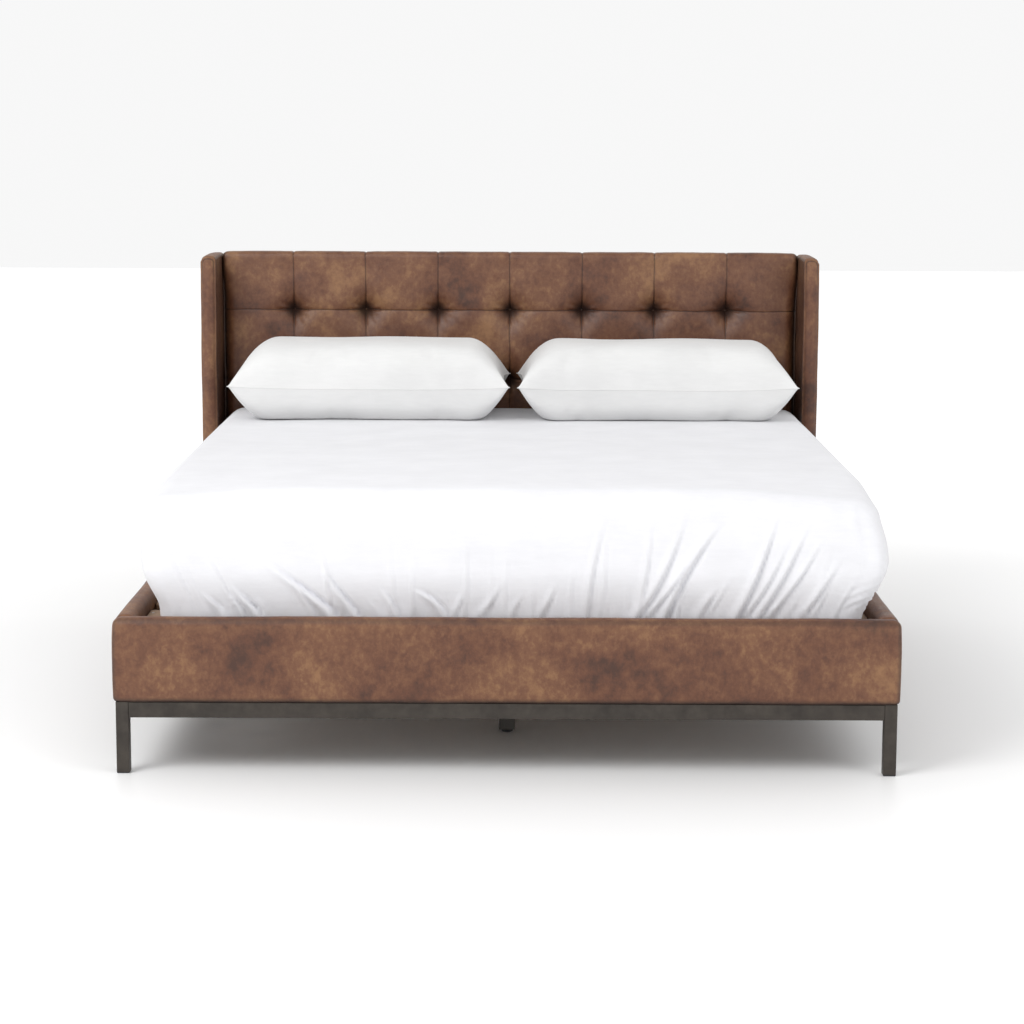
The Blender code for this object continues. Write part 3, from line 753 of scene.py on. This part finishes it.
class BED_OT_back_cover(Operator):
    """Cover the back of the headboard with three joined leather panels"""

    bl_idname = "bed.back_cover"
    bl_label = "Back cover"

    def execute(self, context):
        node = "headboard_back_cover"
        low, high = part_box(node)
        joins = [low.x + (high.x - low.x) * share for share in (1 / 3, 2 / 3)]
        hem = 0.012
        steps = (-0.006, -0.002, 0.0, 0.002, 0.006)
        edges_x = [low.x + hem + s for s in steps] + [high.x - hem + s for s in steps]
        edges_z = [low.z + hem + s for s in steps] + [high.z - hem + s for s in steps]
        roll, cell, skin = 0.0014, 0.020, 0.0010
        lines = (
            cuts(low.x, high.x, roll, cell, edges_x + [j + s for j in joins for s in steps]),
            [low.y, high.y - skin, high.y],
            cuts(low.z, high.z, roll, cell, edges_z),
        )
        bm = lattice(*lines)
        places = places_of(bm)
        seam = np.min([np.abs(places[:, 0] - j) for j in joins], axis=0)
        inset = np.minimum(high.x - places[:, 0], places[:, 0] - low.x)
        inset = np.minimum(inset, np.minimum(high.z - places[:, 2], places[:, 2] - low.z))
        groove = np.maximum(bell(seam, 0.0020), bell(inset - hem, 0.0020))
        back = places[:, 1] > high.y - 1e-6
        # Painted shade: darker along the seams and the stitched groove of the hem.
        note(bm, "fold", np.where(back, 0.6 * groove, 0))

        def drape(at):
            slack = smooth(inset, hem, 0.10)
            hollow = ripple(at, 0.22, 1.0, 31)[:, 1] - at[:, 1]
            lying = at.copy()
            lying[:, 1] += np.where(back, 0.0012 + 0.0028 * slack * hollow - 0.0016 * groove, 0)
            return lying

        reshape(bm, drape)
        leather_piece("back_leather", bm, [node])
        return {"FINISHED"}


# Bedding


def bed_block(low, high, bulge, cell):
    """A mattress's shape between two corners, with the function that rounds it."""
    low, high = np.array(low), np.array(high)
    low[0] += bulge
    high[0] -= bulge
    low[1] += bulge
    roll, softened = 0.055, 0.42
    lines = [cuts(low[a], high[a], roll, cell[a]) for a in range(3)]

    def rounding(places):
        rise = places[:, 2]
        radius = 0.028 + 0.027 * smooth(rise, low[2] + 0.06, high[2] - 0.06)
        lying = rolled(places, low, high, radius, 0.020)
        side = smooth(rise, RAIL_TOP, RAIL_TOP + 0.12) * smooth(rise, high[2] + 0.02, high[2] - 0.15)
        tuck = smooth(rise, RAIL_TOP + 0.17, RAIL_TOP - 0.01) ** 1.6
        clear = smooth(places[:, 1], WING_FRONT - 0.02, WING_FRONT - 0.22)
        middle, half = (low + high) / 2, (high - low) / 2
        for axis, drawn in ((0, 0.034), (1, 0.014)):
            away = (lying[:, axis] - middle[axis]) / half[axis]
            edge = smooth(np.abs(away), 0.86, 1.0)
            lying[:, axis] += np.sign(away) * edge * clear * (bulge * 0.80 * side - drawn * tuck)
        corner = smooth(lying[:, 1], low[1] + softened, low[1])
        corner = corner * smooth(np.abs(lying[:, 0]), half[0] - softened, half[0])
        lying[:, 2] -= 0.026 * corner * smooth(rise, high[2] - 0.16, high[2])
        return lying

    return low, high, lines, rounding


# Folds pulled by the elastic, on the foot face: the top end and the bottom end as (x, z), then how far
# the fold bows, its width and its height as a share of the largest.
FOOT_FOLDS = (
    ((-0.808, 0.483), (-0.735, 0.405), 0.000, 0.009, 0.55),
    ((-0.743, 0.490), (-0.690, 0.405), 0.002, 0.008, 0.60),
    ((-0.723, 0.500), (-0.648, 0.405), -0.003, 0.010, 0.80),
    ((-0.642, 0.560), (-0.450, 0.402), 0.006, 0.013, 1.00),
    ((-0.560, 0.500), (-0.505, 0.405), 0.002, 0.010, 0.55),
    ((-0.483, 0.545), (-0.390, 0.402), -0.004, 0.011, 0.90),
    ((-0.339, 0.500), (-0.285, 0.405), 0.003, 0.009, 0.55),
    ((-0.254, 0.485), (-0.165, 0.412), 0.012, 0.010, 0.70),
    ((-0.110, 0.490), (-0.140, 0.410), 0.002, 0.008, 0.45),
    ((-0.013, 0.505), (-0.075, 0.405), 0.004, 0.009, 0.55),
    ((0.045, 0.480), (0.010, 0.405), -0.002, 0.008, 0.40),
    ((0.130, 0.510), (0.085, 0.405), 0.003, 0.010, 0.50),
    ((0.262, 0.690), (0.208, 0.420), -0.010, 0.011, 0.50),
    ((0.378, 0.680), (0.345, 0.440), 0.004, 0.010, 0.45),
    ((0.470, 0.700), (0.338, 0.405), 0.012, 0.012, 0.80),
    ((0.500, 0.620), (0.362, 0.405), 0.008, 0.010, 0.65),
    ((0.572, 0.680), (0.412, 0.405), -0.018, 0.014, 0.95),
    ((0.560, 0.500), (0.500, 0.405), -0.004, 0.012, 0.60),
    ((0.710, 0.705), (0.600, 0.405), 0.006, 0.011, 0.95),
    ((0.742, 0.640), (0.620, 0.405), 0.008, 0.009, 0.60),
    ((0.795, 0.685), (0.655, 0.405), 0.006, 0.010, 0.80),
    ((0.832, 0.640), (0.682, 0.405), 0.006, 0.009, 0.75),
    ((0.880, 0.590), (0.768, 0.405), 0.004, 0.009, 0.65),
    ((0.850, 0.520), (0.800, 0.405), 0.002, 0.008, 0.45),
)


def side_folds(seed, span, count, size=1.0, girth=0.0105):
    """Folds for a side that has no plan of its own, strewn along its length."""
    chance = random.Random(seed)
    folds = []
    for number in range(count):
        x = span[0] + (span[1] - span[0]) * (number + chance.random()) / count
        lean = chance.uniform(-0.03, 0.03) - 0.09 * x
        top = chance.uniform(0.47, 0.66)
        width, height = girth * chance.uniform(0.8, 1.2) * size**0.6, chance.uniform(0.3, 0.8) * size
        folds.append(((x, top), (x + lean, 0.400), chance.uniform(-0.01, 0.01), width, height))
    return folds


def fold_height(across, rise, folds):
    """Height of the folds over a side face, and how shaded each place is."""
    raised = np.zeros(len(across))
    shaded = np.zeros(len(across))
    for (x0, z0), (x1, z1), bow, width, share in folds:
        run = np.array([x1 - x0, z1 - z0])
        span = np.linalg.norm(run)
        run = run / span
        along = ((across - x0) * run[0] + (rise - z0) * run[1]) / span
        off = (across - x0) * -run[1] + (rise - z0) * run[0] - 4 * bow * along * (1 - along)
        strength = share * smooth(along, -0.05, 0.60) * smooth(along, 1.25, 1.02)
        girth = width * (0.42 + 0.36 * np.clip(along, 0, 1))
        ridge = bell(off, np.where(off > 0, 0.75 * girth, 1.7 * girth))
        raised += strength * (ridge - 0.80 * bell(off - 1.25 * girth, girth * 0.60))
        shaded = np.maximum(shaded, strength * 0.40 * bell(off - 1.15 * girth, girth * 0.50))
    return raised, shaded


class BED_OT_mattress(Operator):
    """Model the mattress in its ticking, with a taped edge"""

    bl_idname = "bed.mattress"
    bl_label = "Mattress"

    def execute(self, context):
        bedding = context.scene.bed_bedding
        low, high, lines, rounding = bed_block(SLEEP_LOW, SLEEP_HIGH, bedding.bulge, (0.04, 0.04, 0.03))
        bm = lattice(*lines)
        middle = (low + high) / 2

        def settle(places):
            lying = rounding(places)
            lying[:, :2] = middle[:2] + (lying[:, :2] - middle[:2]) * 0.994
            lying[:, 2] = np.minimum(lying[:, 2], high[2] - 0.003)
            under = places[:, 2] < low[2] + 1e-6
            quilt = np.sin(lying[:, 0] * math.tau / 0.09) * np.sin(lying[:, 1] * math.tau / 0.09)
            lying[:, 2] += np.where(under, 0.0012 * (1 + quilt), 0)
            return lying

        reshape(bm, settle)
        cover = kept("mattress_ticking", ticking)
        mattress = piece("mattress_cover", bm, cover, "mattress", "mattress_ticking", ["mattress"])
        self.tape(low, high, cover)
        return {"FINISHED"}

    def tape(self, low, high, cover):
        """The bound edge round the underside."""
        points = rounded_loop(low, high, 0.052, 0.055, low[2] + 0.0048)
        cord_piece("mattress_tape", points, 0.0042, cover, "mattress", "mattress_ticking")


def rounded_loop(low, high, inset, corner, height, steps=8):
    """Points round a level rectangle with rounded corners, inset from a block's sides."""
    reach = (high - low) / 2 - inset - corner
    centre = (low + high) / 2
    points = []
    for quarter, (sx, sy) in enumerate(((1, 1), (-1, 1), (-1, -1), (1, -1))):
        for step in range(steps + 1):
            angle = math.pi / 2 * (quarter + step / steps)
            x = centre[0] + sx * reach[0] + corner * math.cos(angle)
            y = centre[1] + sy * reach[1] + corner * math.sin(angle)
            points.append((x, y, height))
    return points


def cord_piece(name, points, radius, finish, body, slot):
    """A closed loop of cord through the points, as a mesh tube."""
    curve = bpy.data.curves.new(name, "CURVE")
    curve.dimensions = "3D"
    curve.bevel_depth = radius
    curve.bevel_resolution = 2
    spline = curve.splines.new("POLY")
    spline.points.add(len(points) - 1)
    for point, place in zip(spline.points, points):
        point.co = (*place, 1.0)
    spline.use_cyclic_u = True
    holder = bpy.data.objects.new(name, curve)
    mesh = bpy.data.meshes.new_from_object(holder)
    bpy.data.objects.remove(holder)
    bpy.data.curves.remove(curve)
    bm = bmesh.new()
    bm.from_mesh(mesh)
    bpy.data.meshes.remove(mesh)
    bmesh.ops.remove_doubles(bm, verts=bm.verts[:], dist=1e-6)
    piece(name, bm, finish, body, slot)


class BED_OT_fitted_sheet(Operator):
    """Model the fitted sheet, stretched over the mattress and gathered under it"""

    bl_idname = "bed.fitted_sheet"
    bl_label = "Fitted sheet"

    def execute(self, context):
        bedding = context.scene.bed_bedding
        low, high, lines, rounding = bed_block(
            SHEET_LOW, SHEET_HIGH, bedding.bulge, (0.0062, 0.016, 0.0062)
        )
        bm = lattice(*lines)
        inner = bedding.hem
        under = []
        for face in bm.faces:
            middle = face.calc_center_median()
            deep = min(middle.x - low[0], high[0] - middle.x, middle.y - low[1], high[1] - middle.y)
            if middle.z < low[2] + 1e-6 and deep > inner:
                under.append(face)
        bmesh.ops.delete(bm, geom=under, context="FACES")
        raised, shaded, outward = self.folds(places_of(bm), low, high)
        # The painted shade beside the folds and low over the rail goes to the cotton finish.
        note(bm, "fold", np.clip(shaded, 0, 1))

        def lay(at):
            lying = rounding(at)
            lying += outward * (bedding.fold * raised)[:, None]
            top = at[:, 2] > high[2] - 1e-6
            broad = ripple(lying, 0.42, 1.0, 41)[:, 2] - lying[:, 2]
            fine = ripple(lying, 0.09, 1.0, 42)[:, 2] - lying[:, 2]
            lying[:, 2] += np.where(top, 0.0028 * broad + 0.0007 * fine - 0.0015, 0)
            return lying

        reshape(bm, lay)
        cloth, on = bed_cotton(), ("mattress", "sheet_cotton")
        sheet = piece("sheet_cotton_fitted", bm, cloth, *on, ["fitted_sheet"])
        elastic = rounded_loop(low, high, inner, 0.030, low[2] + 0.0030)
        cord_piece("sheet_elastic", elastic, 0.0026, cloth, *on)
        turned = high[2] - low[2] + inner
        width, length_flat = (high[a] - low[a] + 2 * turned for a in (0, 1))
        width * length_flat - 4 * turned**2
        return {"FINISHED"}

    @staticmethod
    def folds(places, low, high):
        """How high the folds stand at each place, how shaded it is, and which way is out."""
        x, y, z = places.T
        outward = np.zeros((len(places), 3))
        raised, shaded = np.zeros(len(places)), np.zeros(len(places))
        foot = (*FOOT_FOLDS, *side_folds(11, (-0.93, 0.93), 30, 0.45))
        flank = (-0.98, 0.72), 17, 1.0, 0.022
        faces = (
            (y - low[1], x, foot, (0, -1, 0)),
            (high[1] - y, x, side_folds(3, (-0.9, 0.9), 22), (0, 1, 0)),
            (x - low[0], y, side_folds(5, *flank), (-1, 0, 0)),
            (high[0] - x, y, side_folds(8, *flank), (1, 0, 0)),
        )
        for deep, across, folds, way in faces:
            near = smooth(deep, 0.030, 0.0)
            fade = near * smooth(z, high[2], high[2] - 0.075)
            height, shade = fold_height(across, z, folds)
            raised = np.where(near > 0, raised + fade * height, raised)
            shaded = np.maximum(shaded, fade * shade)
            outward += near[:, None] * np.array(way)
        bunch = np.array([noise.noise(Vector((px * 34, py * 34, pz * 9))) for px, py, pz in places])
        gather = smooth(z, RAIL_TOP + 0.060, RAIL_TOP - 0.02)
        raised += 0.45 * gather * bunch
        frill = bell(x - high[0], 0.05) * bell(y - low[1], 0.05) * bell(z - RAIL_TOP - 0.045, 0.045)
        raised += 0.70 * frill * (1 + np.sin((z - 0.4 * (x + y)) * math.tau / 0.026))
        raised += 1.7 * smooth(high[0] - x, 0.05, 0.0) * bell(y - low[1], 0.45) * bell(z - 0.56, 0.075)
        # Painted shade: a lavender band low on the sides, over the rail.
        shaded = np.maximum(shaded, 0.12 * smooth(z, RAIL_TOP + 0.085, RAIL_TOP - 0.01))
        size = np.linalg.norm(outward, axis=1, keepdims=True)
        return raised, shaded, outward / np.maximum(size, 1.0)


class BED_OT_pillows(Operator):
    """Stuff, seam and pipe the two pillows"""

    bl_idname = "bed.pillows"
    bl_label = "Pillows"

    def execute(self, context):
        for seed, (side, _) in enumerate(SIDES, 51):
            self.pillow(context, side, seed)
        return {"FINISHED"}

    def pillow(self, context, side, seed):
        bedding = context.scene.bed_bedding
        node = f"pillow_{side}"
        low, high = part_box(node)
        middle, half = (np.array(low) + high) / 2, (np.array(high) - low) / 2
        bed = float(low.z)
        bm = lattice(self.spaced(67, 0.88), self.spaced(51, 0.75), [-1.0, 0.0, 1.0])
        flat = places_of(bm)

        end_reach, side_reach, seat = 0.135, 0.200, bed + 0.0004

        def stuff(at):
            u, v, w = at.T
            edge_x, edge_y = (1 - np.abs(u)) * half[0], (1 - np.abs(v)) * half[1]
            crown_x = np.sin(math.pi / 2 * np.clip(edge_x / end_reach, 0, 1)) ** 0.85
            crown_y = self.dome(edge_y, side_reach)
            full = (crown_x * crown_y) ** 0.90
            lift = np.where(w > 0, half[2] * 1.02, half[2] * 1.03)
            lying = np.empty_like(at)
            pull_x = bedding.pillow_pull * (1 - v**4) * np.abs(u) ** 3
            pull_y = bedding.pillow_pull * 1.3 * (1 - u**4) * np.abs(v) ** 3
            lying[:, 0] = middle[0] + u * half[0] - np.sign(u) * pull_x
            lying[:, 1] = middle[1] + v * half[1] - np.sign(v) * pull_y
            sag = bedding.seam_sag * (1 - u**4) * (1 - full)
            lying[:, 2] = middle[2] - 0.006 - sag + w * (lift * full + 0.0012)
            lying = ripple(lying, 0.26, 0.010, seed) * full[:, None] + lying * (1 - full[:, None])
            lying[:, 2] = np.maximum(lying[:, 2], seat)
            return lying

        reshape(bm, stuff)
        stuffed = places_of(bm)
        settled = self.plump(bm, stuffed, bedding.plump_cap)
        settled[:, 2] = np.maximum(settled[:, 2], seat)
        for vert, place in zip(bm.verts, settled):
            vert.co = place
        stuffed = settled
        rim = (np.abs(flat[:, 2]) < 1e-6) & (np.abs(flat[:, :2]).max(axis=1) > 1 - 1e-6)
        order = sorted(np.flatnonzero(rim), key=lambda i: self.around(flat[i]))
        piping = [tuple(stuffed[i]) for i in order]
        cotton_finish = bed_pillow_cotton()
        pillow = piece(f"pillow_cotton_{side}", bm, cotton_finish, node, "pillow_cotton", [node])
        rounder = pillow.modifiers.new("smooth_cloth", "SUBSURF")
        rounder.levels = rounder.render_levels = 1
        cord_piece(f"pillow_piping_{side}", piping, 0.0013, cotton_finish, node, "pillow_cotton")

    @staticmethod
    def spaced(count, power):
        """Places from -1 to 1, closer together near both ends."""
        return [float(math.copysign(abs(u) ** power, u)) for u in np.linspace(-1, 1, count)]

    @staticmethod
    def around(place):
        """How far along a square's edge a place is, so that the rim's corners sort in order."""
        x, y = place[0], place[1]
        if y <= -1 + 1e-6:
            return x
        if x >= 1 - 1e-6:
            return 2 + y
        if y >= 1 - 1e-6:
            return 4 - x
        return 6 - y

    @staticmethod
    def dome(edge, reach):
        """Height of a stuffed edge, a share of the full height, edge metres in from the seam."""
        fullness = 2.7
        return (1 - (1 - np.clip(edge / reach, 0, 1)) ** fullness) ** (1 / fullness)

    @staticmethod
    def plump(bm, start, cap):
        """Fills the case under a little pressure and returns where its corners come to rest."""
        scene, frames = bpy.context.scene, 16
        mesh = bpy.data.meshes.new("pillow_case")
        bm.to_mesh(mesh)
        case = bpy.data.objects.new("pillow_case", mesh)
        scene.collection.objects.link(case)
        cloth = case.modifiers.new("filling", "CLOTH")
        cloth.settings.quality = 6
        cloth.settings.mass = 0.25
        cloth.settings.tension_stiffness = 12
        cloth.settings.compression_stiffness = 12
        cloth.settings.bending_stiffness = 0.4
        cloth.settings.shrink_min = -0.03
        cloth.settings.use_pressure = True
        cloth.settings.uniform_pressure_force = 3.5
        cloth.settings.effector_weights.gravity = 0.0
        cloth.collision_settings.use_collision = False
        cloth.point_cache.frame_start = 1
        cloth.point_cache.frame_end = frames
        for number in range(1, frames + 1):
            scene.frame_set(number)
        depsgraph = bpy.context.evaluated_depsgraph_get()
        rested = case.evaluated_get(depsgraph).to_mesh()
        settled = np.zeros(len(start) * 3)
        rested.vertices.foreach_get("co", settled)
        settled = settled.reshape(-1, 3)
        case.evaluated_get(depsgraph).to_mesh_clear()
        bpy.data.objects.remove(case)
        bpy.data.meshes.remove(mesh)
        scene.frame_set(1)
        moved = settled - start
        size = np.linalg.norm(moved, axis=1, keepdims=True)
        return start + moved * cap / (cap + size)


# Fittings


class BED_OT_fittings(Operator):
    """Add the slat screws and the bracket bolts"""

    bl_idname = "bed.fittings"
    bl_label = "Fittings"

    def execute(self, context):
        finish = kept("zinc_spangled", zinc)
        screws = bmesh.new()
        inset = 0.013
        for node in sorted(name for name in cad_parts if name.startswith("slat_")):
            low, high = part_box(node)
            for x in (low.x + inset, high.x - inset):
                place = Matrix.Translation((x, (low.y + high.y) / 2, high.z))
                self.head(screws, place, 0.0042, 0.0008, 14, 0.3)
        piece("slat_screws", screws, finish, "bed_frame", "zinc_plate")
        bolts = bmesh.new()
        # Each bolt's place along its bracket as a share, and how far its head sinks into the plate.
        spots = (("foot", 0.6, 0.0001), ("head", 0.2, -0.0002), ("head", 0.8, 0.0001))
        for side, sign in SIDES:
            turn = Matrix.Rotation(-sign * math.pi / 2, 4, "Y")
            for end, spot, sunk in spots:
                low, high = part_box(f"corner_bracket_{end}_{side}")
                x = (low.x if sign > 0 else high.x) + sign * sunk
                y = low.y + (high.y - low.y) * spot
                for share in (0.25, 0.75):
                    place = Matrix.Translation((x, y, low.z + (high.z - low.z) * share))
                    self.head(bolts, place @ turn, 0.0065, 0.0045, 6, 0.25)
        piece("bracket_bolts", bolts, finish, "bed_frame", "zinc_plate")
        return {"FINISHED"}

    @staticmethod
    def head(bm, place, radius, height, sides, chamfer):
        """A low head with a chamfered rim and a round socket, standing along its own Z."""
        earlier = set(bm.verts)
        made = bmesh.ops.create_circle(bm, cap_ends=True, radius=radius, segments=sides)["verts"]
        base = next(f for f in made[0].link_faces if len(f.verts) == sides)
        grown = bmesh.ops.extrude_face_region(bm, geom=[base])["geom"]
        top = [item for item in grown if isinstance(item, bmesh.types.BMFace)]
        rim = [item for item in grown if isinstance(item, bmesh.types.BMVert)]
        bmesh.ops.translate(bm, verts=rim, vec=(0, 0, height * (1 - chamfer)))
        bmesh.ops.inset_region(bm, faces=top, thickness=height * chamfer, depth=height * chamfer)
        bmesh.ops.inset_region(bm, faces=top, thickness=radius * 0.28)
        bmesh.ops.inset_region(bm, faces=top, thickness=radius * 0.06, depth=-height * 0.55)
        fresh = [vert for vert in bm.verts if vert not in earlier]
        bmesh.ops.transform(bm, matrix=place, verts=fresh)


class BED_OT_finishes(Operator):
    """Give each carried-over board, tube and fitting its finish"""

    bl_idname = "bed.finishes"
    bl_label = "Finishes"

    def execute(self, context):
        beech = ((0.30, 0.19, 0.115), (0.19, 0.115, 0.065))
        black = ((0.105, 0.098, 0.088), (0.070, 0.065, 0.058))
        fine = 0.06
        rules = (
            (("leg_", "base_bar_"), "steel_gunmetal", gunmetal, ()),
            (("glide_", "levelling_foot_"), "nylon_black", nylon, ()),
            (("beam_saddle_", "corner_bracket_"), "zinc_spangled", zinc, ()),
            (("slat_",), "beech_across", grained_wood, ((fine, 1.0, 1.0), *beech)),
            (("cleat_", "centre_beam"), "beech_along", grained_wood, ((1.0, fine, 1.0), *beech)),
            (("centre_leg_",), "wood_black", grained_wood, ((1.0, 1.0, fine), *black, False)),
            (("side_rail_board_", "wing_board_"), "plywood_sides", plywood, ("X",)),
            (("foot_rail_board", "headboard_core"), "plywood_ends", plywood, ("Y",)),
        )
        for node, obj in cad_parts.items():
            for starts, name, make, facts in rules:
                if node.startswith(starts):
                    obj.data.materials.clear()
                    obj.data.materials.append(kept(name, make, *facts))
        return {"FINISHED"}


# Stage


class BED_OT_stage(Operator):
    """Set the floor, the soft lights and the camera"""

    bl_idname = "bed.stage"
    bl_label = "Stage"

    def execute(self, context):
        settings = context.scene.bed_stage
        scene = context.scene
        scene.view_settings.view_transform = "Standard"
        self.surround(settings.sky)
        self.floor(tuple(settings.floor_tone))
        self.soft_light("key_light", (-3.9, -4.4, 5.0), (0, 0, 0.5), 3.4, settings.key)
        self.soft_light("fill_light", (4.2, -4.6, 2.8), (0, 0, 0.5), 3.0, settings.fill)
        self.camera(settings.lens)
        return {"FINISHED"}

    @staticmethod
    def surround(strength):
        """A white surround, brightest along the horizon."""
        world = bpy.data.worlds.new("white_surround")
        world.use_nodes = True
        tree = world.node_tree
        background = tree.nodes["Background"]
        background.inputs["Color"].default_value = (1.0, 1.0, 1.0, 1.0)
        way = tree.nodes.new("ShaderNodeTexCoord")
        split = tree.nodes.new("ShaderNodeSeparateXYZ")
        glow = tree.nodes.new("ShaderNodeMapRange")
        for socket, value in zip(glow.inputs[1:5], (0.12, 0.38, 0.935, strength)):
            socket.default_value = value
        height = tree.nodes.new("ShaderNodeMath")
        height.operation = "ABSOLUTE"
        tree.links.new(way.outputs["Generated"], split.inputs[0])
        tree.links.new(split.outputs["Z"], height.inputs[0])
        tree.links.new(height.outputs[0], glow.inputs[0])
        tree.links.new(glow.outputs[0], background.inputs["Strength"])
        bpy.context.scene.world = world

    @staticmethod
    def floor(tint):
        """A pale floor with a painted glow, an emission that brightens it away from the bed into the
        surround.
        """
        bm = bmesh.new()
        bmesh.ops.create_grid(bm, x_segments=8, y_segments=8, size=24.0)
        made = Finish("floor_paint_with_painted_glow", Specular_IOR_Level=0.4, Emission_Strength=1.0)
        cloud = made.grain(1.3, 2.0)
        shade = tuple(c * 0.985 for c in tint)
        # Painted light: the floor glows, though it is no lamp, more the further it lies from the bed.
        away = made.node("ShaderNodeVectorMath", {"operation": "LENGTH"}, {0: made.place}, 1)
        near, far, most = 1.2, 4.0, 0.31
        glow = made.mixed(made.limits(away, near, far), (0.0, 0.0, 0.0), (most, most, most))
        made.plug(made.shader.inputs["Emission Color"], glow)
        finish = made.paint(made.mixed(cloud, shade, tint), 0.42 + cloud * 0.04)
        mesh = bpy.data.meshes.new("stage_floor")
        bm.to_mesh(mesh)
        bm.free()
        mesh.materials.append(finish)
        floor = bpy.data.objects.new("stage_floor", mesh)
        bpy.context.scene.collection.objects.link(floor)

    @staticmethod
    def soft_light(name, place, aim, size, power):
        """A square light, size metres across, turned to aim."""
        light = bpy.data.lights.new(name, "AREA")
        light.shape = "SQUARE"
        light.size = size
        light.energy = power
        obj = bpy.data.objects.new(name, light)
        bpy.context.scene.collection.objects.link(obj)
        obj.location = place
        obj.rotation_euler = (Vector(aim) - Vector(place)).to_track_quat("-Z", "Y").to_euler()

    @staticmethod
    def camera(lens):
        """At the height of someone sitting, square to the foot of the bed and tipped down a little."""
        place = (0.01882, -7.49135, 1.65848)
        yaw, pitch, roll = -0.00104, 0.14914, 0.00401
        level_share = math.cos(pitch)
        look = Vector((math.sin(yaw) * level_share, math.cos(yaw) * level_share, -math.sin(pitch)))
        level = Vector((math.cos(yaw), -math.sin(yaw), 0))
        upright = level.cross(look)
        right = level * math.cos(roll) + upright * math.sin(roll)
        up = upright * math.cos(roll) - level * math.sin(roll)
        data = bpy.data.cameras.new("camera")
        data.lens = lens
        data.sensor_width = 36.0
        camera = bpy.data.objects.new("camera", data)
        bpy.context.scene.collection.objects.link(camera)
        turn = Matrix((right, up, -look)).transposed().to_4x4()
        camera.matrix_world = Matrix.Translation(place) @ turn
        bpy.context.scene.camera = camera


STEPS = (
    BED_OT_stage,
    BED_OT_finishes,
    BED_OT_rails,
    BED_OT_wings,
    BED_OT_tufted_pad,
    BED_OT_back_cover,
    BED_OT_mattress,
    BED_OT_fitted_sheet,
    BED_OT_pillows,
    BED_OT_fittings,
)
SETTINGS = {
    "bed_leather": BedLeatherSettings,
    "bed_tufting": BedTuftingSettings,
    "bed_bedding": BedBeddingSettings,
    "bed_stage": BedStageSettings,
}


class BED_PT_sidebar(Panel):
    """Lists the bed's steps and sizes"""

    bl_idname = "BED_PT_sidebar"
    bl_label = "Upholstered bed"
    bl_space_type = "VIEW_3D"
    bl_region_type = "UI"
    bl_category = "Bed"

    def draw(self, context):
        for step in STEPS:
            self.layout.operator(step.bl_idname)
        for name, group in SETTINGS.items():
            box = self.layout.box()
            for field in group.__annotations__:
                box.prop(getattr(context.scene, name), field)


def register():
    for kind in (*SETTINGS.values(), *STEPS, BED_PT_sidebar):
        bpy.utils.register_class(kind)
    for name, group in SETTINGS.items():
        setattr(bpy.types.Scene, name, PointerProperty(type=group))


def unregister():
    for name in SETTINGS:
        delattr(bpy.types.Scene, name)
    for kind in reversed((*SETTINGS.values(), *STEPS, BED_PT_sidebar)):
        bpy.utils.unregister_class(kind)


def main():
    register()
    for step in STEPS:
        call = bpy.ops
        for part in step.bl_idname.split("."):
            call = getattr(call, part)
        call()


if __name__ == "__main__":
    main()
